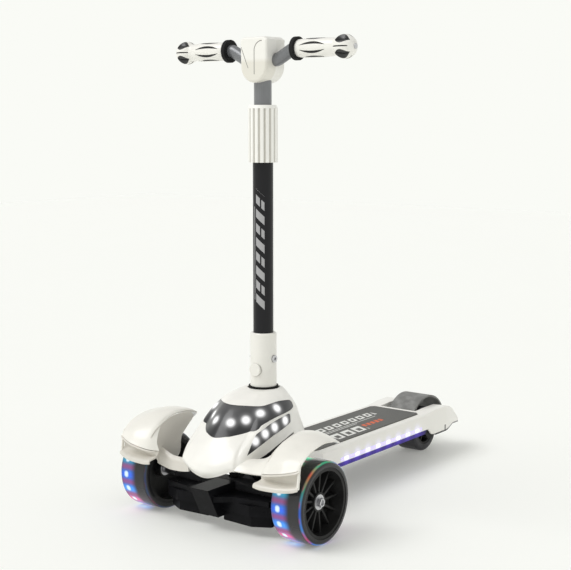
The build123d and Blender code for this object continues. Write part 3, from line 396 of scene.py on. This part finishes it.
def tread_finish(side):
    """Clear polyurethane tread, lit from inside by coloured lamps all round the wheel."""
    low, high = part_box(f"front_tyre_{side}")
    hub = (low + high) / 2
    finish = Finish(f"lit_tread_{side}", IOR=1.5, Coat_Weight=0.2, Coat_Roughness=0.1,
                    Specular_IOR_Level=0.3)
    behind, above = finish.y - hub.y, finish.z - hub.z
    away = off_axis(finish, {1: behind, 2: above})
    turn = angle(above, behind) / math.tau + 0.5
    hues = finish.add("ValToRGB", {"stops": wheel_hues}, {0: turn}, "Color")
    step = abs(((turn * lamps_a_wheel) % 1.0) - 0.5)  # 0.5 at a lamp, 0 half way to the next
    lamps = step.fade(0.08, 0.45)
    warm = step.fade(0.0, 0.30, 0.6, 0.0) * away.fade(0.0585, 0.0595)
    hues = finish.blend(warm, hues, (0.95, 0.05, 0.16))
    # the light fills the half of the tread towards -X; the rest is dark, with a thin lit shoulder
    across = (finish.x - hub.x) / (high.x - low.x)
    band = abs(across + 0.22).fade(0.10, 0.34, 1.0, 0.0)
    surface = away.fade(0.052, 0.058)
    shoulder_light = 0.7 if side == "left" else 0.1
    shoulder = away.fade(0.0568, 0.0592) * across.fade(0.40, 0.47) * shoulder_light
    strength = band * (lamps * 0.55 + 0.45) * surface + shoulder
    core = abs(across + 0.24).fade(0.0, 0.16, 1.0, 0.0)
    white_hot = (core * lamps * surface).fade(0.35, 0.9)
    finish.shine(strength, finish.blend(white_hot, hues, (0.75, 0.93, 1.0)))
    clear, lit = (0.022, 0.022, 0.024), (0.02, 0.03, 0.09)
    finish.feed("Base Color", finish.blend(band * surface, clear, lit))
    finish.feed("Roughness", finish.noise(120.0) * 0.1 + 0.12)
    return finish


lamps_a_side = 8


def deck_lamp_spots(side):
    """The places of the lamps along a deck edge."""
    low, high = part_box(f"side_lamp_{side}")
    x = high.x if side == "left" else low.x
    step = (high.y - low.y) / lamps_a_side
    return [(x, low.y + step * (i + 0.5), (low.z + high.z) / 2) for i in range(lamps_a_side)]


def lamp_strip_finish(side):
    """A clear lamp strip: white lamps in a violet-blue glow."""
    finish = Finish(f"lamp_strip_{side}", IOR=1.5, Coat_Weight=0.5)
    light = glow(finish, deck_lamp_spots(side), 0.016, 0.0042)
    finish.shine(light, (1.0, 1.0, 1.0), (0.28, 0.22, 0.85), 1.2)
    finish.feed("Base Color", finish.blend(finish.noise(80.0), (0.5, 0.5, 0.8), (0.6, 0.6, 0.9)))
    finish.feed("Roughness", finish.noise(90.0) * 0.1 + 0.2)
    return finish


def lit_edge(finish, colour, wash=0.0):
    """Adds the side lamps' light to a part beside them: soft round each one, over an even wash."""
    spots = deck_lamp_spots("left") + deck_lamp_spots("right")
    first, last = spots[0][1] - 0.01, spots[lamps_a_side - 1][1] + 0.01
    run_out = 0.03
    even = finish.y.fade(first - run_out, first) * finish.y.fade(last, last + run_out, 1.0, 0.0)
    even = even * (abs(finish.x) > abs(spots[0][0]) - 0.004) * wash
    finish.shine(glow(finish, spots, 0.024, 0.0012) + even, colour)
    return finish


def lens_lamps(points):
    """Lamp places on the nose, mirrored to the other side."""
    return [tuple(at(x * s, y, z)) for x, y, z in points for s in sides.values()]


# ---------------------------------------------------------------- mesh makers
def smooth(points, steps, before=None, after=None):
    """A Catmull-Rom curve through the points, with that many steps from each to the next."""
    points = np.asarray(points, float)
    before = 2 * points[0] - points[1] if before is None else np.asarray(before, float)
    after = 2 * points[-1] - points[-2] if after is None else np.asarray(after, float)
    line = np.vstack([before[None], points, after[None]])
    curve = []
    for a, b, c, d in zip(line, line[1:], line[2:], line[3:]):
        for t in np.linspace(0, 1, steps, endpoint=False):
            curve.append(0.5 * (2 * b + (c - a) * t + (2 * a - 5 * b + 4 * c - d) * t ** 2
                                + (3 * b - a - 3 * c + d) * t ** 3))
    curve.append(points[-1])
    return np.array(curve)


def smooth_grid(rows, across, along):
    """A smooth sheet through rows of points: steps across within a row, along from row to row."""
    lines = np.array([smooth(row, across) for row in rows])
    flat = smooth(lines.reshape(len(lines), -1), along)
    return flat.reshape(len(flat), -1, 3)


def grid_normals(grid, ring):
    """The outward direction at each point of a grid."""
    along = np.gradient(grid, axis=0)
    if ring:
        around = np.roll(grid, -1, 1) - np.roll(grid, 1, 1)
    else:
        around = np.gradient(grid, axis=1)
    normals = np.cross(around, along)
    return normals / np.maximum(np.linalg.norm(normals, axis=2, keepdims=True), 1e-9)


def thick_sheet(name, grid, top, bottom, ring=False):
    """A closed shell between two offsets of a grid in mm, in the frame's metres."""
    normals = grid_normals(grid, ring)
    return closed_block(name, [grid + normals * top, grid + normals * bottom], ring)


def closed_block(name, layers, ring=False):
    """A closed block between two grids of points in mm."""
    rows, columns = layers[0].shape[:2]
    work = bmesh.new()
    verts = [[[work.verts.new(at(*point)) for point in row] for row in layer] for layer in layers]
    spans = columns if ring else columns - 1

    def face(*corners):
        work.faces.new(corners)

    for i in range(rows - 1):
        for j in range(spans):
            k = (j + 1) % columns
            face(verts[0][i][j], verts[0][i][k], verts[0][i + 1][k], verts[0][i + 1][j])
            face(verts[1][i + 1][j], verts[1][i + 1][k], verts[1][i][k], verts[1][i][j])
    for j in range(spans):
        k = (j + 1) % columns
        face(verts[1][0][j], verts[1][0][k], verts[0][0][k], verts[0][0][j])
        face(verts[0][-1][j], verts[0][-1][k], verts[1][-1][k], verts[1][-1][j])
    if not ring:
        for i in range(rows - 1):
            face(verts[0][i][0], verts[0][i + 1][0], verts[1][i + 1][0], verts[1][i][0])
            face(verts[1][i][-1], verts[1][i + 1][-1], verts[0][i + 1][-1], verts[0][i][-1])
    return piece_from(work, name)


def prism(name, outline, start, end):
    """A closed block: an outline of points in mm, moved by the start and by the end vector."""
    work = bmesh.new()
    rings = [[work.verts.new(at(*(np.asarray(point) + shift))) for point in outline]
             for shift in (start, end)]
    work.faces.new(rings[0])
    work.faces.new(rings[1][::-1])
    for j in range(len(outline)):
        k = (j + 1) % len(outline)
        work.faces.new((rings[0][j], rings[1][j], rings[1][k], rings[0][k]))
    return piece_from(work, name)


def piece_from(work, name):
    """Turns mesh work into an object whose faces look outwards."""
    bmesh.ops.recalc_face_normals(work, faces=work.faces)
    mesh = bpy.data.meshes.new(name)
    work.to_mesh(mesh)
    work.free()
    made = bpy.data.objects.new(name, mesh)
    scene.collection.objects.link(made)
    return made


def settle(piece, finish, crease=32):
    """Applies the piece's modifiers, smooths its shading up to the crease angle, and paints it."""
    graph = bpy.context.evaluated_depsgraph_get()
    solid = bpy.data.meshes.new_from_object(piece.evaluated_get(graph))
    piece.modifiers.clear()
    piece.data = solid
    solid.materials.clear()
    solid.materials.append(finish.material)
    solid.polygons.foreach_set("use_smooth", [True] * len(solid.polygons))
    solid.set_sharp_from_angle(angle=math.radians(crease))
    return piece


def combine(piece, tool, operation):
    """Cuts the tool out of the piece, or keeps what both share."""
    change = piece.modifiers.new(operation.lower(), "BOOLEAN")
    change.operation = operation
    change.solver = "EXACT"
    change.object = tool


def rounded(piece, width, segments=3, angle=30):
    """Rounds the piece's sharp edges."""
    edge = piece.modifiers.new("rounded", "BEVEL")
    edge.width = width * mm
    edge.segments = segments
    edge.limit_method = "ANGLE"
    edge.angle_limit = math.radians(angle)
    edge.use_clamp_overlap = True


def discard(*tools):
    for tool in tools:
        bpy.data.objects.remove(tool)


def merged(name, pieces):
    """One object from several."""
    work = bmesh.new()
    for piece in pieces:
        work.from_mesh(piece.data)
    discard(*pieces)
    return piece_from(work, name)


def shape_of(node, name):
    """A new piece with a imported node's shape, its seams welded."""
    work = bmesh.new()
    work.from_mesh(nodes[node].data)
    work.transform(nodes[node].matrix_world)
    bmesh.ops.remove_doubles(work, verts=work.verts, dist=1e-6)
    return piece_from(work, name)


# ---------------------------------------------------------------- the nose cowl and its lenses
# each row runs from the middle of the front round to the middle of the back: across, behind, up
cowl_rows = [
    [(0, -138, 83), (22, -137.5, 88), (42, -131, 96.5), (47, -127, 96.5), (57, -109, 97),
     (62, -50, 88), (54, 40, 85), (0, 46, 85)],
    [(0, -144, 97), (22, -141.5, 100), (42.5, -132, 104), (47.5, -127.5, 104), (57, -110, 104),
     (63, -52, 100), (53, 38, 98), (0, 44, 98)],
    [(0, -127, 120), (20, -124.5, 121), (39, -117.5, 122), (44, -114.5, 121), (54, -107, 119),
     (62, -58, 120), (50, 35, 120), (0, 41, 120)],
    [(0, -107, 145), (20, -101, 144), (36, -88, 144), (40.5, -84.5, 144), (55, -75, 144.5),
     (59.5, -22, 145), (44, 30, 145), (0, 37, 145)],
    [(0, -89, 166), (18, -82.5, 166), (31, -71, 166), (35.5, -67, 166), (49, -53, 166),
     (53.5, -8, 166), (38, 25, 166), (0, 33, 166)],
    [(0, -69, 180), (14, -64, 180.5), (24.5, -55, 181), (28, -51, 181), (38, -35, 181),
     (41, -4, 181), (29, 20, 181), (0, 28, 181)],
    [(0, -40, 188), (9.5, -39, 188), (17, -34, 188.5), (19, -32, 188.5), (26, -21, 188.8),
     (29, 2, 188.5), (19, 21.5, 188), (0, 27, 188)],
    [(0, -24, 189.6), (6.5, -23.2, 189.6), (13, -20.2, 189.6), (15, -18.7, 189.6),
     (19.5, -14, 189.6), (24, 0, 189.6), (17.5, 16.5, 189.6), (0, 24, 189.6)],
]
cowl_steps = 8
# mm: the shell's thickness, and how a lens sits in it: outside, inside and the gap round it
shell_wall = 2.6
lens_outside, lens_inside, lens_gap = -0.5, -2.2, 0.35
smooth_up_to = 40  # degrees between faces
# outlines on the nose seen from the side: behind the pole and up
visor_edge = [(-125, 138), (-111, 138.7), (-102, 140.9), (-88.6, 144.3), (-78.8, 148.9),
              (-68.9, 154.7), (-40.5, 160.9), (0, 165.8), (6.5, 171), (4, 176.5), (-10, 179),
              (-25.7, 179.7), (-43.5, 178.3), (-54.6, 176.9), (-62.9, 177.2), (-71.5, 178),
              (-90, 178.5), (-125, 178.5)]
side_edge = [(-97, 133.2), (-90, 139.5), (-82.8, 144.5), (-69, 150), (-55.5, 154.5), (-34, 158.8),
             (-15, 161), (-11.5, 158.5), (-12, 153), (-15, 147), (-38, 141.3), (-61.9, 135.1),
             (-88, 125.8), (-107, 118.3), (-109.4, 119)]
flank_edge = [(-112, 60), (-108, 98), (-96, 104.5), (-88, 110), (-50, 121), (-13, 130), (-4, 132),
              (0, 60)]
# the lamps behind the lenses, on one side
visor_spots = [(13.5, -94.8, 155.3), (29.4, -79.9, 158.8), (42, -61.5, 166.9),
               (49.6, -33.4, 170.5)]
side_spots = [(54.1, -90.7, 133.8), (57, -71.4, 141.4), (58.4, -51, 147.3), (58.5, -25.6, 152.5)]


def mirrored_ring(half):
    """A whole ring of points from the half that runs from the front's middle to the back's."""
    half = np.asarray(half, float)
    flip = np.array([-1, 1, 1])
    right = smooth(half, cowl_steps, half[1] * flip, half[-2] * flip)
    return np.vstack([right, right[-2:0:-1] * flip])


rings = np.array([mirrored_ring(row) for row in cowl_rows])
cowl_grid = smooth(rings.reshape(len(rings), -1), cowl_steps).reshape(-1, rings.shape[1], 3)
# facing the other way round, so that the sheet's outside is outwards
cowl_grid = cowl_grid[:, ::-1]


def shrunk(outline, gap):
    """The outline moved inwards by the gap."""
    points = np.asarray(outline, float)
    middle = points.mean(0)
    away = points - middle
    return middle + away * (1 - gap / np.linalg.norm(away, axis=1, keepdims=True))


def lens_tool(edge, gap, start, end, steps=4):
    """A prism across the nose, shaped as an outline seen from the side."""
    whole = smooth(edge, steps, edge[-1], edge[1]) if steps > 1 else edge
    outline = [(0, y, z) for y, z in shrunk(whole, gap)]
    return prism("lens_tool", outline, (start, 0, 0), (end, 0, 0))


cowl = thick_sheet("nose_cowl", cowl_grid, 0.0, -shell_wall, ring=True)
cutters = [lens_tool(visor_edge, 0.0, -80, 80)]
for s in sides.values():
    cutters += [lens_tool(side_edge, 0.0, s * 20, s * 80)]
    cutters += [lens_tool(flank_edge, 0.0, s * 20, s * 80, 1)]
for cutter in cutters:
    combine(cowl, cutter, "DIFFERENCE")
settle(cowl, white_body, smooth_up_to)
discard(*cutters)
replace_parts(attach(cowl, "deck"), "cowl_shell")

smoked_visor = smoked_finish("smoked_visor", lens_lamps(visor_spots), 0.138, 0.176)
visor_lens = thick_sheet("visor", cowl_grid, lens_outside, lens_inside, ring=True)
tool = lens_tool(visor_edge, lens_gap, -80, 80)
combine(visor_lens, tool, "INTERSECT")
settle(visor_lens, smoked_visor, smooth_up_to)
discard(tool)
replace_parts(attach(visor_lens, "deck"), "visor_lens")

smoked_side = smoked_finish("smoked_side", lens_lamps(side_spots), 0.118, 0.160)
for side, s in sides.items():
    side_lens = thick_sheet(f"side_glass_{side}", cowl_grid, lens_outside, lens_inside, ring=True)
    tool = lens_tool(side_edge, lens_gap, s * 20, s * 80)
    combine(side_lens, tool, "INTERSECT")
    settle(side_lens, smoked_side, smooth_up_to)
    discard(tool)
    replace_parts(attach(side_lens, "deck"), f"side_lens_{side}")

# ---------------------------------------------------------------- fenders
# rows from the front lip to the rear tip, each from the inner edge across to the outer edge
fender_rows = [
    [(97, -129, 103.5), (112, -142, 107), (140, -146, 113), (160, -140, 117.5),
     (167, -135.5, 120)],
    [(103, -127, 118), (115, -132, 125), (140, -133.5, 130), (160, -129, 130.5), (167, -127, 130)],
    [(111, -107, 139), (117, -108.5, 143), (140, -109, 145), (160, -109, 142),
     (167, -108.5, 140.5)],
    [(112, -76, 149), (118, -77, 152.5), (138, -78, 153.5), (160, -78, 149), (167, -78, 146.5)],
    [(112, -46, 148.5), (118, -47.5, 151.5), (137, -49, 152), (155, -50, 147.5),
     (163.5, -50, 143)],
    [(115, -22, 141.5), (122, -24, 143.5), (135, -25, 143), (148, -26, 139.5), (154, -26, 137)],
    [(131, -7, 131.5), (134, -7.5, 132), (139, -8, 131.5), (144, -8, 130.5), (146.5, -8, 129.5)],
    [(138, -3, 127.6), (139, -3.2, 127.7), (140, -3.4, 127.6), (141, -3.6, 127.5),
     (142, -3.8, 127.3)],
]
# the arms from the cowl out to the fenders; the right one sits lower
arm_rows = {
    "left": [
        [(44, -133, 99), (56, -131.5, 98.5), (72, -131, 99), (88, -131.5, 100), (112, -132, 102)],
        [(46, -127, 106), (57, -124, 106), (72, -122, 107), (88, -121, 110), (112, -123, 116)],
        [(49, -119, 111), (58, -114, 111), (72, -112, 112), (88, -112, 116), (112, -114, 127)],
        [(52, -110, 113), (60, -105, 112.5), (72, -103, 113.5), (88, -103, 119), (112, -105, 137)],
    ],
    "right": [
        [(48, -119, 78), (60, -117, 75.5), (74, -117, 74.5), (90, -117, 75), (112, -117, 80)],
        [(49, -118.5, 84), (60, -116.5, 82.5), (74, -116.5, 82), (90, -116.5, 83),
         (112, -116.5, 90)],
        [(50, -117, 90), (60, -115, 89.5), (74, -115, 89.5), (90, -115, 91), (112, -115, 99)],
        [(51, -112, 94), (60, -110, 94), (74, -110, 94.5), (90, -110, 96), (112, -110, 106)],
    ],
}
# the wall between fender and cowl, seen from the side: behind the pole and up
wall_edge = [(-127, 100), (-133, 118), (-127, 129), (-110, 138.5), (-92, 145), (-73, 147.5),
             (-50, 147), (-38, 142.5), (-36, 136), (-50, 124), (-64, 110), (-67, 88), (-80, 78),
             (-108, 77), (-120, 88)]
# the scoop under the fender's lip, from the lip down
scoop_rows = [
    [(99, -129, 102.5), (112, -142, 106), (140, -146, 112), (160, -140, 116.5),
     (166.5, -135.5, 119)],
    [(99, -129.5, 98), (112, -134, 100), (140, -134, 106), (158, -131, 110), (165.5, -131, 111)],
    [(99, -131, 94), (112, -131, 94.5), (140, -130, 97), (158, -129, 100), (165, -131, 103)],
    [(99, -139, 92), (112, -139, 91.5), (140, -137, 92), (158, -134.5, 94.5), (165.5, -134.5, 97)],
    [(98, -148, 91), (112, -148.5, 90), (140, -146, 90.5), (158, -141, 92), (166.5, -138, 94)],
    [(98, -148.5, 87.5), (112, -149, 86), (140, -146.5, 86.5), (158, -141.5, 88.5),
     (166.5, -138.5, 91)],
]


def mirror(rows, s):
    """Rows of points on one side; on the other side the points run the other way too."""
    placed = [[(s * x, y, z) for x, y, z in row] for row in rows]
    return placed if s > 0 else [row[::-1] for row in placed]


def smooth_shell(name, rows, wall):
    """A closed shell of some thickness below a smooth sheet through the rows."""
    return thick_sheet(name, smooth_grid(rows, 6, 6), 0.0, -wall)


def side_plate(name, outline, across, thickness, s):
    """A plate seen from the side, that far across on the side s."""
    points = [(s * across, y, z) for y, z in outline]
    return prism(name, points, (0, 0, 0), (s * thickness, 0, 0))


# the thin outer wall that closes the scoop
cheek_edge = [(-136, 120), (-139.5, 94), (-138.5, 92), (-134.5, 93), (-133, 110), (-130, 128),
              (-132, 128)]
wall_curve = smooth(wall_edge, 3, wall_edge[-1], wall_edge[1])
fender_white = glossy_white("fender_white", (0.87, 0.85, 0.79))
# a greyer copy of the fender's white, painted on as shade
fender_painted_shade = glossy_white("fender_painted_shade", (0.70, 0.67, 0.61))
for side, s in sides.items():
    top = smooth_shell(f"fender_{side}_top", mirror(fender_rows, s), shell_wall)
    arm = smooth_shell(f"fender_{side}_arm", mirror(arm_rows[side], s), shell_wall)
    scoop = smooth_shell(f"fender_{side}_scoop", mirror(scoop_rows, s), 2.4)
    wall = side_plate(f"fender_{side}_wall", wall_curve, 110, 2.4, s)
    cheek = side_plate(f"fender_{side}_cheek", cheek_edge, 164.5, 2.2, s)
    # painted shade: the parts that lie back get a greyer copy of the white; the left arm is as
    # white as the fender's top
    shaded = [scoop, wall] if side == "left" else [arm, scoop, wall]
    rounded(wall, 0.8)
    rounded(cheek, 0.6)
    for part in (top, arm, scoop, wall, cheek):
        settle(part, fender_painted_shade if part in shaded else fender_white, smooth_up_to)
        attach(part, "deck")
    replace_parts(top, f"fender_{side}")

# ---------------------------------------------------------------- grips with windows
grip_low, grip_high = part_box("grip_left")
grip_start, grip_height = grip_low.x / mm, (grip_low.z + grip_high.z) / 2 / mm
core_radius, clear_radius = 11.4, 19.0


def window_tool(s, start, end, middle_turn, half_turn):
    """A block round the bar's core: its ends in mm along the grip, and its turns in radians."""
    grid = []
    for u in np.linspace(-1, 1, 13):
        x = s * (grip_start + start + (end - start) * (u + 1) / 2)
        turns = middle_turn(1 - u * u) + half_turn(1 - u * u) * np.linspace(-1, 1, 7)
        grid.append([(x, -core_radius * math.cos(t), grip_height + core_radius * math.sin(t))
                     for t in turns])
    inner = np.array(grid)
    axis = np.array([1, clear_radius / core_radius, clear_radius / core_radius])
    outer = (inner - (0, 0, grip_height)) * axis + (0, 0, grip_height)
    return closed_block("window_tool", [inner, outer])


grip_white = grip_finish()
window_ends = 0.004  # radians: how far each window still opens at its two ends
for side, s in sides.items():
    tools = []
    for base in np.arange(4) * math.pi / 2:
        # a pair of curved slits, an opening in the knob, and a straight groove
        for way in (1, -1):
            tools.append(window_tool(s, 9.5, 53.5,
                                     lambda swell: base + way * (0.24 + 0.24 * swell),
                                     lambda swell: 0.13 * swell + window_ends))
        tools.append(window_tool(s, 69, 93, lambda swell: base + math.pi / 4,
                                 lambda swell: 0.5 * swell + window_ends))
        tools.append(window_tool(s, 68.5, 91.5, lambda swell: base, lambda swell: 0.045))
    tool = merged("grip_tool", tools)
    sleeve = shape_of(f"grip_{side}", f"grip_sleeve_{side}")
    combine(sleeve, tool, "DIFFERENCE")
    settle(sleeve, grip_white, smooth_up_to)
    discard(tool)
    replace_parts(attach(sleeve, "bar"), f"grip_{side}")

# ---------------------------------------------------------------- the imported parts' finishes
rim_finish = grained_black("wheel_black", (0.02, 0.02, 0.02), 0.4)
soft_rubber = grained_black("soft_rubber", (0.012, 0.012, 0.012), 0.7)
pedal_grey = grained_black("pedal_grey", (0.19, 0.19, 0.185), 0.55)
tray_black = lit_edge(grained_black("tray_black"), (0.13, 0.07, 0.70), 0.32)


def deck_finish():
    """White deck, its tail edged in black below and marked with a black notch on each side."""
    finish = glossy_white("deck_white")
    tail_start, notch_middle, rise_start, rise_end, tail_end = (
        at(0, behind, 0).y for behind in (398, 449, 464, 492, 524))
    notch = (abs(finish.y - notch_middle) < 0.0019) * (finish.z < 0.0535)
    lower = finish.y.fade(rise_start, rise_end, 0.0445, 0.0475)
    edge = finish.z < lower - finish.y.fade(rise_end, tail_end, 0.0, 0.0025)
    marks = (notch + edge) * (abs(finish.x) > 0.042) * (finish.y > tail_start)
    finish.feed("Base Color", finish.blend(marks > 0.5, warm_white, (0.01, 0.01, 0.011)))
    return finish


deck_white = lit_edge(deck_finish(), (0.42, 0.38, 0.9))
board_green = grained_black("board_green", (0.01, 0.09, 0.03), 0.4)
rear_tread = grained_black("rear_tread", (0.05, 0.05, 0.055), 0.35)

finishes = {
    white_tube_parts: ["pole_socket", "release_button", "head_rear"],
    head_finish(): ["head_front"],
    collar_finish(): ["height_collar"],
    grip_white: ["grip_left", "grip_right"],
    deck_white: ["deck_shell"],
    tray_black: ["undertray"],
    grained: ["battery_case", "battery_door", "collar_wedge", "tube_plug", "grip_cores"],
    smooth_black: ["truck_cover"],
    dark_steel: ["head_bracket", "truck_beam"],
    rim_finish: ["front_hub_left", "front_hub_right", "rear_hub"],
    soft_rubber: ["kingpin_bushings", "socket_ring", "grip_flanges"],
    rear_tread: ["rear_tyre"],
    pedal_grey: ["brake_pedal"],
    board_green: ["lamp_board", "wheel_lamps_left", "wheel_lamps_right"],
    grey_tube: ["inner_tube", "handlebar"],
    black_tube_finish(): ["outer_tube"],
    mat_finish(): ["grip_mat"],
    lamp_strip_finish("left"): ["side_lamp_left"],
    lamp_strip_finish("right"): ["side_lamp_right"],
    tread_finish("left"): ["front_tyre_left"],
    tread_finish("right"): ["front_tyre_right"],
}
# the screws, nuts, axles and springs are zinc plated
painted = {name: finish for finish, names in finishes.items() for name in names}

# ---------------------------------------------------------------- the deck's tail
# the deck with flatter rear humps, and side walls that reach further down beside the wheel
deck_body = shape_of("deck_shell", "deck_body")
mat_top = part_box("grip_mat")[1].z
hump_left = 0.12
skirt_start, skirt_length, skirt_ramp = at(0, 388, 0).y, 0.078, 0.014
skirt_top, skirt_drop, skirt_inside = 0.0615, 0.0155, 0.048
for vertex in deck_body.data.vertices:
    place = vertex.co
    along = place.y - skirt_start
    if place.z > mat_top:
        place.z = mat_top + (place.z - mat_top) * hump_left
    elif abs(place.x) > skirt_inside and place.z < skirt_top and 0 < along < skirt_length:
        place.z -= skirt_drop * min(1.0, along / skirt_ramp)
rounded(deck_body, 1.6)
settle(deck_body, deck_white, smooth_up_to)
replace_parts(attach(deck_body, "deck"), "deck_shell")
for name, node in nodes.items():
    node.data.materials.clear()
    node.data.materials.append(painted.get(name, zinc).material)

edge_rounds = {"truck_cover": 1.6, "undertray": 1.0, "brake_pedal": 1.0,
               "pole_socket": 0.6, "release_button": 0.6, "grip_flanges": 1.0, "socket_ring": 0.6}
for name, width in edge_rounds.items():
    rounded(nodes[name], width)

# ---------------------------------------------------------------- camera, light and floor
camera = bpy.data.objects.new("camera", bpy.data.cameras.new("camera"))
scene.collection.objects.link(camera)
camera.location = (1.1412, -1.6515, 0.5905)
camera.rotation_mode = "QUATERNION"
camera.rotation_quaternion = Vector((-0.5950, 0.7931, -0.1298)).to_track_quat("-Z", "Y")
camera.data.sensor_width = 36.0
camera.data.lens = 78.6
scene.camera = camera

# a bright horizon under a dimmer sky, so that pale parts keep their shading
backdrop = (0.956, 0.965, 0.921)
world = bpy.data.worlds.new("studio")
sky = Nodes(world, "Background")
height = sky.add("SeparateXYZ", {}, {0: sky.add("TexCoord", output="Generated")}, "Z")
sky.feed("Color", sky.add("ValToRGB", {"stops": [
    (0.0, backdrop), (0.22, backdrop), (0.5, (0.50, 0.50, 0.49)), (1.0, (0.62, 0.62, 0.61))]},
    {0: height}, "Color"))
scene.world = world
scene.view_settings.view_transform = "Standard"

sun = bpy.data.objects.new("key_light", bpy.data.lights.new("key_light", "SUN"))
scene.collection.objects.link(sun)
sun.data.energy = 1.4
sun.data.angle = math.radians(35)
sun.rotation_mode = "QUATERNION"
sun.rotation_quaternion = Vector((0.55, 0.75, -1.25)).to_track_quat("-Z", "Y")

floor_half = 6.0
work = bmesh.new()
bmesh.ops.create_grid(work, x_segments=24, y_segments=24, size=floor_half)
studio_floor = piece_from(work, "studio_floor")
floor_paint = Finish("floor_paint", Roughness=0.6, Emission_Color=(1.0, 1.0, 0.96, 1),
                     Emission_Strength=0.18)
floor_paint.feed("Base Color", floor_paint.blend(floor_paint.noise(3.0), (0.80, 0.808, 0.78),
                                                 (0.81, 0.818, 0.79)))
settle(studio_floor, floor_paint)
